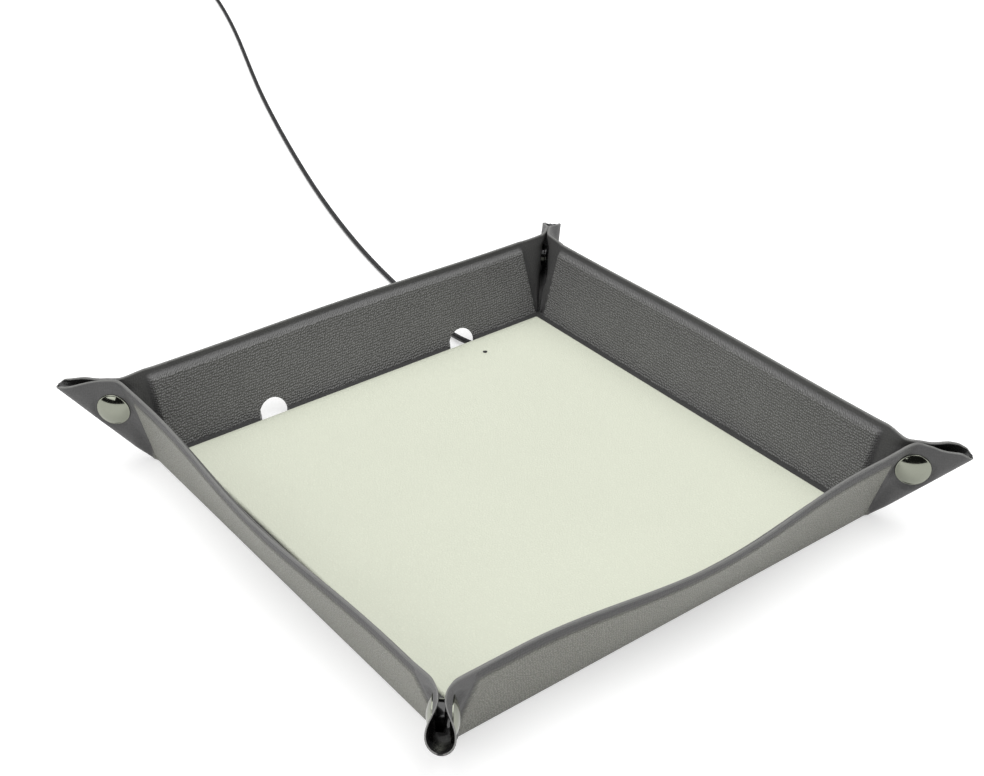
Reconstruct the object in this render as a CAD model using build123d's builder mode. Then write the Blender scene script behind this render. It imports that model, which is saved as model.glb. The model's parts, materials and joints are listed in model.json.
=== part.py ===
from build123d import *
import os
from math import cos, pi, radians, sin, sqrt, tan

# Folding desk tray with a charger in its floor: a flat base, four padded walls on living
# hinges, and four corners pinched into tails that snaps hold. Millimetres, +Z up.
# The origin is under the middle of the base, and the walls stand for +X, +Y, -X and -Y.

# Driving dimensions
base_side = 205.0  # from fold line to fold line
wall_slant = 38.5  # from fold line to rim, along the wall
wall_angle = 75.0  # of a snapped-up wall above the table
skin = 1.1  # one layer of coated fabric
fold_gap = 0.3  # between pieces that fold against each other
miter_gap = 0.15  # from a corner's middle plane to the pieces on each side
fit_gap = 0.2  # round a piece that drops into a pocket
overrun = 2.0  # what a cutter passes beyond what it cuts

# Base
base_board_thickness = 3.4
insert_side = 188.0
insert_thickness = 1.3
border_radius = 1.5
hinge_strip = 1.7  # soft strip between the base and the wall's skins

# Wall panels
board_thickness = 2.4
outer_relief = 0.8  # how far the outer panel stands proud of the flat skin
rim_strip = 4.5  # flat strip between the panel and the rim
foot_strip = 3.2  # flat strip between the panel and the fold
board_end_foot = 5.5  # from a wall's end to its board, at the foot
board_end_rim = 17.0  # the same at the rim
panel_wrap = 1.1  # skin round the board's edges

# Cord slots punched through the left wall's foot and the border
slot_width = 13.4
slot_height = 11.0  # up the wall from the fold line
slot_places = (-45.5, 56.0)  # along Y
punched_wall = "left"

# Corner tails, measured from the base's corner outwards (u) and up (z)
tail_rise = 40.5  # of the folded bottom edge, degrees
tail_rim_height = 38.2
tail_rim_slope = 0.14
tail_tip_radius = 3.0
tail_levels = (9.0, 25.0, 42.0)  # heights of the tail's three sections
tail_faces = (1.3, 3.95, 3.5)  # half width over the pinched part at each level
tail_flares = (1.5, 4.6, 7.0)  # half width over the flared end at each level
tail_layers = (0.9, 2.2, 2.2)  # thickness of the doubled fabric at each level
pinch_share = 0.70  # of the way to the tail's end at each level
flare_share = 0.86
turn_share = 0.95

# Snaps
snap_out = 13.5  # u of a snap's middle
snap_up = 25.0
cap_diameter = 13.8
cap_rim = 0.5
cap_dome = 1.5
post_diameter = 2.6
snap_gap = 3.5  # between the two fabric faces at a snap
spot_margin = 0.3
socket_diameter = 10.4
socket_depth = 2.6
socket_web = 0.5
socket_mouth = 5.0
stud_flange = 9.4
stud_web = 0.4
stud_diameter = 4.0
stud_waist = 3.2
stud_depth = 2.0

# Charger
coil_centre = (15.0, 43.0)
coil_outer = 48.0
coil_inner = 20.0
coil_thickness = 1.0
ferrite_margin = 2.0  # of the ferrite sheet beyond the coil
ferrite_thickness = 0.5
case_skin = 0.5
case_wall = 1.2
case_margin = 1.0
case_inset = 4.5  # from the base board's edge to the charger's case
electronics_across = 53.0  # Y of the electronics' middle
board_room = 2.0  # from the case's outer face to the circuit board
channel_width = 10.0
circuit_board_size = (29.0, 20.0)
circuit_board_thickness = 0.8
boss_height = 0.4
boss_diameter = 3.4
boss_inset = 2.2
screw_head = 2.6
screw_head_height = 0.6
screw_shank = 1.2
light_place = (-81.5, 53.5)
light_size = (1.6, 0.8, 0.6)
guide_diameter = 2.0
guide_flange = 3.4
guide_flange_height = 0.3
wire_diameter = 0.7
wire_spacing = 2.4
choke_side = 5.0
choke_height = 1.05
chip_side = 4.0
chip_height = 0.8
capacitor_size = (1.6, 0.8, 0.8)
part_pitch = 3.0

# Charging lead
lead_diameter = 2.6
relief_width = 5.0
relief_depth = 5.5
coil_turn_radius = 18.9  # outermost turn of the put-away length
coil_pitch = 3.05  # from turn to turn, and from layer to layer
half_turns_in = 6
half_turns_out = 7
tie_width = 6.0
tie_thickness = 0.4
tie_gap = 0.1
plug_relief_length = 14.0
plug_relief_diameter = 5.6
plug_relief_end = 3.6
plug_tail_run = 12.0
grip_length = 27.0
grip_width = 16.0
grip_radius = 2.0
shell_length = 12.0
shell_width = 12.0
shell_height = 4.5
shell_wall = 0.3
tongue_length = 10.0
tongue_height = 1.8
contact_count = 4
contact_pitch = 2.2
contact_width = 1.0
contact_thickness = 0.15

# Route of the lead from the base's edge to the put-away coil, chosen by hand
lead_height = lead_diameter / 2
coil_level = lead_height + tie_thickness + tie_gap
lead_route = [
    (-98.0, 56.0, 2.8), (-102.6, 56.1, 2.55), (-112.0, 56.4, lead_height), (-129.0, 57.6, lead_height),
    (-157.0, 60.9, lead_height), (-196.0, 67.4, lead_height), (-238.0, 77.2, lead_height),
    (-285.0, 90.4, lead_height), (-335.0, 106.6, lead_height), (-388.0, 125.0, lead_height),
    (-441.0, 144.6, lead_height), (-494.0, 166.2, lead_height), (-546.0, 187.6, lead_height),
    (-597.0, 206.6, lead_height), (-640.0, 220.4, coil_level), (-662.0, 226.4, coil_level),
]

# Heights and half sizes that follow
half_base = base_side / 2
board_bottom = skin
board_top = board_bottom + base_board_thickness
insert_top = board_top + insert_thickness
half_insert = insert_side / 2
slant = radians(wall_angle)
inner_relief = board_thickness - outer_relief
fabric_middle = outer_relief + skin
lead_exit = (-half_insert, slot_places[1], (board_bottom + board_top) / 2)
ferrite_diameter = coil_outer + 2 * ferrite_margin
electronics_size = (circuit_board_size[0] + 2 * board_room, circuit_board_size[1] + 2 * board_room)
case_left = case_inset - half_insert
electronics_centre = (case_left + electronics_size[0] / 2, electronics_across)

WALLS = {"right": 0, "back": 90, "left": 180, "front": 270}
CORNERS = {"back_right": 45, "back_left": 135, "front_left": 225, "front_right": 315}

os.makedirs("parts", exist_ok=True)


def save(piece, name):
    """Label a finished piece and write it under its own name."""
    piece.part.label = name
    export_step(piece.part, f"parts/{name}.step")


def turned(angle, length):
    """A vector of a length in the XY plane, at an angle from +X."""
    return Vector(length * cos(radians(angle)), length * sin(radians(angle)), 0)


def wall_plane(name, depth=0.0):
    """Plane of a wall: x runs along it, y up its slant from the fold, z inwards."""
    outward = turned(WALLS[name], 1)
    up = Vector(0, 0, 1)
    inward = up * cos(slant) - outward * sin(slant)
    fold = outward * half_base
    return Plane(origin=fold, x_dir=outward.cross(up), z_dir=inward).offset(depth)


def corner_plane(name, height=0.0):
    """Level plane at a corner of the base: x points outwards along its diagonal."""
    reach = half_base * sqrt(2)
    origin = turned(CORNERS[name], reach) + Vector(0, 0, height)
    return Plane(origin=origin, x_dir=turned(CORNERS[name], 1), z_dir=(0, 0, 1))


def tail_plane(name, side, depth):
    """Upright plane beside a corner's middle plane: x outwards, y up, z away from it."""
    along = turned(CORNERS[name], 1)
    across = turned(CORNERS[name] + 90, side)
    origin = turned(CORNERS[name], half_base * sqrt(2)) + across * depth
    if side > 0:
        return Plane(origin=origin, x_dir=-along, z_dir=across)
    return Plane(origin=origin, x_dir=along, z_dir=across)


def snap_plane(name, side, depth):
    """Plane across a snap's own line, a depth from the corner's middle plane."""
    along = turned(CORNERS[name], 1)
    across = turned(CORNERS[name] + 90, side)
    middle = turned(CORNERS[name], half_base * sqrt(2) + snap_out) + Vector(0, 0, snap_up)
    return Plane(origin=middle + across * depth, x_dir=along, z_dir=across)


def wall_of(corner, side):
    """The wall that a corner's flap belongs to."""
    angle = (CORNERS[corner] + 45 * side) % 360
    return [name for name, at in WALLS.items() if at == angle][0]


# Base: outer skin, stiff board, inner border skin and pale floor insert
def slots_in_base(height):
    """Rectangles at the punched slots, from the insert's edge out past the fold."""
    reach = half_base - half_insert + overrun
    with BuildSketch(Plane.XY.offset(height)) as slots:
        with Locations(*[(-half_insert - reach / 2, place) for place in slot_places]):
            Rectangle(reach, slot_width)
    return slots.sketch


def case_outline(height, grow):
    """The charger case seen from above: coil disc, wire channel and electronics box."""
    box_x, box_y = electronics_size
    left, across = electronics_centre
    channel_middle = ((coil_centre[0] + left) / 2, (coil_centre[1] + across) / 2)
    with BuildSketch(Plane.XY.offset(height)) as outline:
        with Locations(coil_centre):
            Circle(ferrite_diameter / 2 + case_margin + case_wall + grow)
        with Locations(electronics_centre):
            Rectangle(box_x + 2 * grow, box_y + 2 * grow)
        with Locations(channel_middle):
            Rectangle(coil_centre[0] - left, channel_width + 2 * case_wall + 2 * grow)
    return outline.sketch


lid_bottom = board_top - case_skin
floor_of_case = board_bottom + case_skin
guide_hole = guide_diameter + fold_gap / 2

with BuildPart() as base_skin:
    with BuildSketch():
        RectangleRounded(base_side - 2 * fold_gap, base_side - 2 * fold_gap, border_radius)
    extrude(amount=skin)
    extrude(slots_in_base(0), amount=skin, mode=Mode.SUBTRACT)
save(base_skin, "base_outer_skin")

with BuildPart() as base_board:
    with BuildSketch(Plane.XY.offset(board_bottom)):
        RectangleRounded(insert_side, insert_side, border_radius)
        with Locations(((lead_exit[0] + case_left) / 2, lead_exit[1])):
            Rectangle(case_left - lead_exit[0] + overrun, relief_width + 2 * fit_gap, mode=Mode.SUBTRACT)
    extrude(amount=base_board_thickness)
    extrude(case_outline(board_bottom, fit_gap), amount=base_board_thickness, mode=Mode.SUBTRACT)
save(base_board, "base_board")

wall_foot = (fabric_middle + skin + inner_relief) / sin(slant) + fold_gap
border_side = base_side - 2 * wall_foot
with BuildPart() as border_skin:
    with BuildSketch(Plane.XY.offset(board_bottom)):
        RectangleRounded(border_side, border_side, border_radius)
        Rectangle(insert_side + 2 * fit_gap, insert_side + 2 * fit_gap, mode=Mode.SUBTRACT)
    extrude(amount=base_board_thickness)
    extrude(slots_in_base(board_bottom), amount=base_board_thickness, mode=Mode.SUBTRACT)
save(border_skin, "floor_border_skin")

with BuildPart() as floor_insert:
    with BuildSketch(Plane.XY.offset(board_top)):
        RectangleRounded(insert_side, insert_side, border_radius)
    extrude(amount=insert_thickness)
    chamfer(floor_insert.faces().sort_by(Axis.Z)[-1].edges(), insert_thickness / 4)
    with BuildSketch(Plane.XY.offset(board_top)):
        with Locations(light_place):
            Circle(guide_hole / 2)
    extrude(amount=insert_thickness, mode=Mode.SUBTRACT)
save(floor_insert, "floor_insert")


# Charger in the base board
boss_span_x = circuit_board_size[0] - 2 * boss_inset
boss_span_y = circuit_board_size[1] - 2 * boss_inset


def four_discs(height, diameter):
    """Discs at the circuit board's four screws."""
    with BuildSketch(Plane.XY.offset(height)) as discs:
        with Locations(electronics_centre):
            with GridLocations(boss_span_x, boss_span_y, 2, 2):
                Circle(diameter / 2)
    return discs.sketch


screw_bottom = board_bottom + case_skin / 2
with BuildPart() as charger_tray:
    extrude(case_outline(board_bottom, 0), amount=lid_bottom - board_bottom)
    extrude(case_outline(floor_of_case, -case_wall), amount=lid_bottom, mode=Mode.SUBTRACT)
    with BuildSketch(Plane.XY.offset(floor_of_case)):
        with Locations((case_left, lead_exit[1])):
            Rectangle(4 * case_wall, relief_width)
    extrude(amount=lid_bottom, mode=Mode.SUBTRACT)
    extrude(four_discs(floor_of_case, boss_diameter), amount=boss_height)
    extrude(four_discs(screw_bottom, screw_shank), amount=case_skin + boss_height, mode=Mode.SUBTRACT)
save(charger_tray, "charger_tray")

with BuildPart() as charger_lid:
    extrude(case_outline(lid_bottom, 0), amount=case_skin)
    with BuildSketch(Plane.XY.offset(lid_bottom)):
        with Locations(light_place):
            Circle(guide_hole / 2)
    extrude(amount=case_skin, mode=Mode.SUBTRACT)
save(charger_lid, "charger_lid")

with BuildPart() as ferrite:
    with BuildSketch(Plane.XY.offset(floor_of_case)):
        with Locations(coil_centre):
            Circle(ferrite_diameter / 2)
    extrude(amount=ferrite_thickness)
save(ferrite, "ferrite_sheet")

coil_bottom = floor_of_case + ferrite_thickness
with BuildPart() as charging_coil:
    with BuildSketch(Plane.XY.offset(coil_bottom)):
        with Locations(coil_centre):
            Circle(coil_outer / 2)
            Circle(coil_inner / 2, mode=Mode.SUBTRACT)
    extrude(amount=coil_thickness)
save(charging_coil, "charging_coil")

board_level = floor_of_case + boss_height
board_face = board_level + circuit_board_thickness
board_right = electronics_centre[0] + circuit_board_size[0] / 2
wire_start = board_right + fold_gap
wire_end = coil_centre[0] - ferrite_diameter / 2 - fold_gap
wire_middle = (coil_centre[1] + electronics_centre[1]) / 2
wire_height = floor_of_case + wire_diameter / 2
with BuildPart() as coil_wires:
    for place in (wire_middle - wire_spacing / 2, wire_middle + wire_spacing / 2):
        with BuildSketch(Plane(origin=(wire_start, place, wire_height), z_dir=(1, 0, 0))):
            Circle(wire_diameter / 2)
    extrude(amount=wire_end - wire_start)
save(coil_wires, "coil_wires")

with BuildPart() as circuit_board:
    with BuildSketch(Plane.XY.offset(board_level)):
        with Locations(electronics_centre):
            Rectangle(*circuit_board_size)
            with GridLocations(boss_span_x, boss_span_y, 2, 2):
                Circle((screw_shank + fit_gap) / 2, mode=Mode.SUBTRACT)
    extrude(amount=circuit_board_thickness)
save(circuit_board, "circuit_board")

with BuildPart() as board_screws:
    extrude(four_discs(board_face, screw_head), amount=screw_head_height)
    extrude(four_discs(screw_bottom, screw_shank), amount=board_face - screw_bottom)
save(board_screws, "board_screws")

centre_x, centre_y = electronics_centre
with BuildPart() as board_parts:
    with BuildSketch(Plane.XY.offset(board_face)):
        with Locations((centre_x + choke_side, centre_y)):
            RectangleRounded(choke_side, choke_side, choke_side / 8)
    extrude(amount=choke_height)
    with BuildSketch(Plane.XY.offset(board_face)):
        with Locations((centre_x - chip_side / 2, centre_y)):
            Rectangle(chip_side, chip_side)
    extrude(amount=chip_height)
    with BuildSketch(Plane.XY.offset(board_face)):
        with Locations((centre_x, centre_y - chip_side - part_pitch / 2)):
            with GridLocations(part_pitch, part_pitch, 4, 1):
                Rectangle(*capacitor_size[:2])
    extrude(amount=capacitor_size[2])
save(board_parts, "board_parts")

with BuildPart() as status_light:
    with BuildSketch(Plane.XY.offset(board_face)):
        with Locations(light_place):
            Rectangle(*light_size[:2])
    extrude(amount=light_size[2])
save(status_light, "status_light")

guide_top = insert_top - insert_thickness / 6
with BuildPart() as light_guide:
    with BuildSketch(Plane.XY.offset(lid_bottom - guide_flange_height)):
        with Locations(light_place):
            Circle(guide_flange / 2)
    extrude(amount=guide_flange_height)
    with BuildSketch(Plane.XY.offset(lid_bottom)):
        with Locations(light_place):
            Circle(guide_diameter / 2)
    extrude(amount=guide_top - lid_bottom)
save(light_guide, "light_guide")

relief_place = (lead_exit[0] + relief_depth / 2, lead_exit[1])
with BuildPart() as lead_relief:
    with BuildSketch(Plane.XY.offset(floor_of_case)):
        with Locations(relief_place):
            Rectangle(relief_depth, relief_width)
    extrude(amount=lid_bottom - floor_of_case)
    fillet(lead_relief.edges().filter_by(Axis.X), case_skin)
save(lead_relief, "lead_strain_relief")


# Walls: outer skin, board and inner skin, with the same trapezoid panel on both faces
panel_foot = hinge_strip + foot_strip
panel_rim = wall_slant - rim_strip
inner_face = skin + board_thickness


def trapezoid(name, depth, grow):
    """Outline of a wall's board at a depth, grown on every side."""
    foot = half_base - board_end_foot + grow
    rim = half_base - board_end_rim + grow
    low = panel_foot - grow
    high = panel_rim + grow
    with BuildSketch(wall_plane(name, depth)) as outline:
        with BuildLine():
            Polyline((-foot, low), (foot, low), (rim, high), (-rim, high), close=True)
        make_face()
    return outline.sketch


def sheet(name, depth):
    """Outline of a wall's flat skin at a depth, from the soft hinge strip to the rim."""
    with BuildSketch(wall_plane(name, depth)) as outline:
        with Locations((0, (wall_slant + hinge_strip) / 2)):
            Rectangle(base_side - 2 * miter_gap, wall_slant - hinge_strip)
    return outline.sketch


def cord_slots(name):
    """Round-topped cord slots through a wall's foot."""
    straight = slot_height - slot_width / 2
    with BuildSketch(wall_plane(name, -overrun)) as slots:
        for place in slot_places:
            with Locations((place, straight)):
                Circle(slot_width / 2)
            with Locations((place, straight / 2)):
                Rectangle(slot_width, straight)
    return slots.sketch


def end_planes(name):
    """Planes that trim both ends of a wall beside the corners' middle planes."""
    planes = []
    for turn in (-45, 45):
        past = turned(WALLS[name] + 3 * turn, 1)
        corner = turned(WALLS[name] + turn, half_base * sqrt(2))
        planes.append(Plane(origin=corner - past * miter_gap, z_dir=past))
    return planes


slot_depth = 2 * overrun + inner_face + skin
for wall in WALLS:
    with BuildPart() as outer_skin:
        extrude(trapezoid(wall, 0, panel_wrap), amount=outer_relief)
        extrude(sheet(wall, outer_relief), amount=skin)
        extrude(trapezoid(wall, skin, 0), amount=board_thickness, mode=Mode.SUBTRACT)
        if wall == punched_wall:
            extrude(cord_slots(wall), amount=slot_depth, mode=Mode.SUBTRACT)
        for trim in end_planes(wall):
            split(bisect_by=trim, keep=Keep.BOTTOM)
    save(outer_skin, f"{wall}_wall_outer_skin")

    with BuildPart() as wall_board:
        extrude(trapezoid(wall, skin, 0), amount=board_thickness)
        if wall == punched_wall:
            extrude(cord_slots(wall), amount=slot_depth, mode=Mode.SUBTRACT)
        for trim in end_planes(wall):
            split(bisect_by=trim, keep=Keep.BOTTOM)
    save(wall_board, f"{wall}_wall_board")

    with BuildPart() as inner_skin:
        extrude(sheet(wall, fabric_middle), amount=skin)
        extrude(trapezoid(wall, fabric_middle + skin, panel_wrap), amount=inner_relief)
        extrude(trapezoid(wall, skin, 0), amount=board_thickness, mode=Mode.SUBTRACT)
        if wall == punched_wall:
            extrude(cord_slots(wall), amount=slot_depth, mode=Mode.SUBTRACT)
        for trim in end_planes(wall):
            split(bisect_by=trim, keep=Keep.BOTTOM)
    save(inner_skin, f"{wall}_wall_inner_skin")


# Corner flaps: half a tail each, from the crease at the wall's end to the folded edge
def tail_section(corner, side, level, near, far):
    """Strip of fabric across a tail at one level, from the crease round to its end.

    near and far say which part of the doubled fabric it takes, from 0 inside to 1 outside.
    """
    height = tail_levels[level]
    layer = tail_layers[level]
    face = tail_faces[level]
    flare = tail_flares[level]
    end = height / tan(radians(tail_rise))
    outer_x = height / tan(slant) - outer_relief / sin(slant)
    inner_x = outer_x - layer / sin(slant)

    def edge(share):
        start_x = inner_x + (outer_x - inner_x) * share
        drop = layer * (1 - share)
        bend = start_x * sqrt(2) - (face - drop)
        return [
            ((start_x + miter_gap) / sqrt(2), (start_x - miter_gap) / sqrt(2)),
            (bend + layer, face - drop),
            (end * pinch_share, face - drop),
            (end * flare_share - drop / 2, flare - drop),
            (end * turn_share - drop, (flare - drop) * pinch_share),
            (end - drop, -miter_gap),
        ]

    points = [(u, side * t) for u, t in edge(far) + edge(near)[::-1]]
    with BuildSketch(corner_plane(corner, height)) as section:
        with BuildLine():
            Polyline(*points, close=True)
        make_face()
    return section.sketch


def tail_profile(corner, side):
    """The tail seen square to its middle plane: folded edge below, rim above, round tip."""
    slope = tan(radians(tail_rise))
    tip = tail_rim_height / (slope + tail_rim_slope)
    low = tail_levels[0]
    out = 1 if side < 0 else -1
    with BuildSketch(tail_plane(corner, side, miter_gap)) as profile:
        with BuildLine():
            Polyline(
                (0, low),
                (out * low / slope, low),
                (out * tip, tip * slope),
                (0, tail_rim_height),
                close=True,
            )
        make_face()
        fillet(profile.vertices().sort_by(Axis.X)[-1 if side < 0 else 0], tail_tip_radius)
    return profile.sketch


def snap_disc(corner, side, depth, diameter):
    """Disc on a snap's line at a depth from the corner's middle plane."""
    with BuildSketch(snap_plane(corner, side, depth)) as disc:
        Circle(diameter / 2)
    return disc.sketch


inside_face = snap_gap / 2
outside_face = tail_faces[1]
for corner in CORNERS:
    for side in (-1, 1):
        with BuildPart() as flap:
            for near, far in ((0.0, 0.5), (0.5, 1.0)):
                with BuildPart(mode=Mode.PRIVATE) as fabric:
                    sections = [tail_section(corner, side, level, near, far) for level in range(3)]
                    loft(sections, ruled=True)
                    extrude(tail_profile(corner, side), amount=half_base, mode=Mode.INTERSECT)
                    extrude(
                        snap_disc(corner, side, outside_face, cap_diameter + 2 * spot_margin),
                        amount=half_base,
                        mode=Mode.SUBTRACT,
                    )
                    extrude(
                        snap_disc(corner, side, inside_face, socket_diameter + 2 * spot_margin),
                        amount=-inside_face,
                        mode=Mode.SUBTRACT,
                    )
                    extrude(
                        snap_disc(corner, side, 0, post_diameter + fit_gap),
                        amount=half_base,
                        mode=Mode.SUBTRACT,
                    )
                add(fabric.part)
        save(flap, f"{corner}_corner_{wall_of(corner, side)}_flap")


# Snaps: a cap on each face of a tail, a socket inside one flap and its stud inside the other
def snap_section(corner, side, depth):
    """Upright plane through a snap's line: x outwards from the line, y away from the middle."""
    along = turned(CORNERS[corner], side)
    across = turned(CORNERS[corner] + 90, side)
    middle = turned(CORNERS[corner], half_base * sqrt(2) + snap_out) + Vector(0, 0, snap_up)
    return Plane(origin=middle + across * depth, x_dir=along, z_dir=(0, 0, 1))


def snap_axis(corner, side, depth):
    """A snap's own line, pointing away from the corner's middle plane."""
    plane = snap_section(corner, side, depth)
    return Axis(plane.origin, plane.y_dir)


cap_radius = cap_diameter / 2
post_radius = post_diameter / 2
web_hole = post_radius + fit_gap / 4
socket_radius = socket_diameter / 2
for corner in CORNERS:
    for side in (-1, 1):
        web = socket_web if side > 0 else stud_web
        with BuildPart() as snap_cap:
            with BuildSketch(snap_section(corner, side, outside_face)):
                with BuildLine():
                    TangentArc((0, cap_rim + cap_dome), (cap_radius, cap_rim), tangent=(1, 0))
                    Polyline(
                        (cap_radius, cap_rim),
                        (cap_radius, 0),
                        (post_radius, 0),
                        (post_radius, inside_face - outside_face - web),
                        (0, inside_face - outside_face - web),
                        (0, cap_rim + cap_dome),
                    )
                make_face()
            revolve(axis=snap_axis(corner, side, outside_face))
        save(snap_cap, f"{corner}_snap_cap_{wall_of(corner, side)}")

    with BuildPart() as socket:
        with BuildSketch(snap_section(corner, 1, inside_face)):
            with BuildLine():
                Polyline(
                    (web_hole, 0),
                    (socket_radius, 0),
                    (socket_radius, -socket_depth),
                    (socket_mouth / 2, -socket_depth),
                    (socket_mouth / 2, -socket_web),
                    (web_hole, -socket_web),
                    close=True,
                )
            make_face()
        revolve(axis=snap_axis(corner, 1, inside_face))
    save(socket, f"{corner}_snap_socket")

    with BuildPart() as stud:
        with BuildSketch(snap_section(corner, -1, inside_face)):
            with BuildLine():
                Polyline(
                    (web_hole, 0),
                    (stud_flange / 2, 0),
                    (stud_flange / 2, -stud_web),
                    (stud_waist / 2, -stud_web),
                    (stud_waist / 2, -stud_web - stud_depth / 2),
                    (stud_diameter / 2, -stud_web - stud_depth * 3 / 4),
                    (stud_waist / 2, -stud_web - stud_depth),
                    (0, -stud_web - stud_depth),
                    (0, -stud_web),
                    (web_hole, -stud_web),
                    close=True,
                )
            make_face()
        revolve(axis=snap_axis(corner, -1, inside_face))
    save(stud, f"{corner}_snap_stud")


# Charging lead: the free stretch, the put-away coil with its tie, and the plug
def bend_radii(points):
    """Largest arcs that a route's runs allow, one for each of its inner points."""
    vectors = [Vector(*point) for point in points]
    radii = []
    for before, at, after in zip(vectors, vectors[1:], vectors[2:]):
        turn = radians((at - before).get_angle(after - at))
        shorter = min((at - before).length, (after - at).length)
        radii.append(0.45 * shorter / tan(turn / 2))
    return radii


def tube_along(path, diameter):
    """Round cord section square to the start of a path."""
    with BuildSketch(Plane(origin=path @ 0, z_dir=path % 0)) as section:
        Circle(diameter / 2)
    return section.sketch


def cord_report(name, tube, path):
    """Print a cord's length and how its volume compares with section times length."""
    length = sum(edge.length for edge in path.edges())
    print(name, "length", round(length), "volume share",
          round(tube.part.volume / (pi * lead_height**2 * length), 3))


route = [lead_exit] + lead_route
radii = bend_radii(route)
print("lead radii", [round(radius) for radius in radii])
with BuildPart() as lead:
    with BuildLine() as lead_path:
        FilletPolyline(*route, radius=radii)
    sweep(tube_along(lead_path.line, lead_diameter))
cord_report("lead", lead, lead_path)
save(lead, "charging_lead")

run_in = Vector(*route[-1]) - Vector(*route[-2])
heading = Vector(run_in.X, run_in.Y, 0).normalized()
to_left = Vector(-heading.Y, heading.X, 0)
coil_start = Vector(*route[-1])
coil_entry = coil_start + heading * lead_diameter
coil_middle = coil_entry - to_left * coil_turn_radius
layer_rise = Vector(0, 0, coil_pitch)
radii_of_turns = [coil_turn_radius - coil_pitch / 2 * turn for turn in range(half_turns_in + 1)]
radii_of_turns += [radii_of_turns[-1] + coil_pitch / 2 * turn for turn in range(half_turns_out + 1)]
with BuildPart() as lead_coil:
    with BuildLine() as coil_path:
        Line(coil_start, coil_entry)
        for turn in range(len(radii_of_turns) - 1):
            near_side = 1 if turn % 2 == 0 else -1
            lift_now = layer_rise * (1 if turn > half_turns_in else 0)
            lift_next = layer_rise * (1 if turn + 1 > half_turns_in else 0)
            start = coil_middle + to_left * near_side * radii_of_turns[turn] + lift_now
            end = coil_middle - to_left * near_side * radii_of_turns[turn + 1] + lift_next
            centre = (start + end) * 0.5
            bulge = heading * near_side * ((start - end).length / 2)
            ThreePointArc(start, centre + bulge, end)
        coil_exit = end
        Line(coil_exit, coil_exit + heading * plug_tail_run)
    sweep(tube_along(coil_path.line, lead_diameter))
cord_report("coil", lead_coil, coil_path)
print("gap between turns", round(coil_pitch - lead_diameter, 2))
save(lead_coil, "charging_lead_coil")

tie_inner = radii_of_turns[half_turns_in] - lead_height - tie_gap
tie_outer = radii_of_turns[-1] + lead_height + tie_gap
tie_height = coil_pitch + lead_diameter + 2 * tie_gap
tie_middle = coil_middle - heading * (tie_inner + tie_outer) / 2 + layer_rise * 0.5
with BuildPart() as tie:
    with BuildSketch(Plane(origin=tie_middle - to_left * tie_width / 2, x_dir=heading, z_dir=to_left)):
        Rectangle(tie_outer - tie_inner + 2 * tie_thickness, tie_height + 2 * tie_thickness)
        Rectangle(tie_outer - tie_inner, tie_height, mode=Mode.SUBTRACT)
    extrude(amount=tie_width)
save(tie, "coil_tie")

plug_start = coil_exit + heading * plug_tail_run


def plug_plane(along):
    """Plane across the plug at a distance from where the lead meets it."""
    return Plane(origin=plug_start + heading * along, x_dir=to_left, z_dir=heading)


grip_height = 2 * plug_start.Z
with BuildPart() as plug_relief:
    with BuildSketch(plug_plane(0)):
        Circle(plug_relief_end / 2)
    with BuildSketch(plug_plane(plug_relief_length)):
        Circle(plug_relief_diameter / 2)
    loft()
save(plug_relief, "plug_strain_relief")

with BuildPart() as plug_grip:
    with BuildSketch(plug_plane(plug_relief_length)):
        RectangleRounded(grip_width, grip_height, grip_radius)
    extrude(amount=grip_length)
    chamfer(plug_grip.faces().group_by(Axis((0, 0, 0), heading))[0].edges(), grip_radius / 2)
save(plug_grip, "plug_grip")

shell_start = plug_relief_length + grip_length
with BuildPart() as plug_shell:
    with BuildSketch(plug_plane(shell_start)):
        Rectangle(shell_width, shell_height)
        Rectangle(shell_width - 2 * shell_wall, shell_height - 2 * shell_wall, mode=Mode.SUBTRACT)
    extrude(amount=shell_length)
save(plug_shell, "plug_shell")

tongue_width = shell_width - 2 * shell_wall - fit_gap
tongue_drop = Vector(0, 0, (shell_height - tongue_height) / 2 - shell_wall - fit_gap / 2)
tongue_plane = plug_plane(shell_start)
tongue_plane.origin = tongue_plane.origin - tongue_drop
with BuildPart() as plug_tongue:
    with BuildSketch(tongue_plane):
        Rectangle(tongue_width, tongue_height)
    extrude(amount=tongue_length)
save(plug_tongue, "plug_tongue")

contact_plane = plug_plane(shell_start)
contact_plane.origin = tongue_plane.origin + Vector(0, 0, (tongue_height + contact_thickness) / 2)
with BuildPart() as plug_contacts:
    with BuildSketch(contact_plane):
        with GridLocations(contact_pitch, contact_pitch, contact_count, 1):
            Rectangle(contact_width, contact_thickness)
    extrude(amount=tongue_length - contact_width)
save(plug_contacts, "plug_contacts")
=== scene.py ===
"""Looks for a folding leather tray with snapped corners, a charger under its pale floor, and its lead.

Surfaces are worked out with numpy in millimetres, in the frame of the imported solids, and put
into Blender in metres. Every wall leans outwards, more in its middle than beside the corners.
"""

import json
import math

import bmesh
import bpy
import numpy as np
from bpy.props import FloatProperty, FloatVectorProperty, PointerProperty
from mathutils import Matrix, Vector


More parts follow.
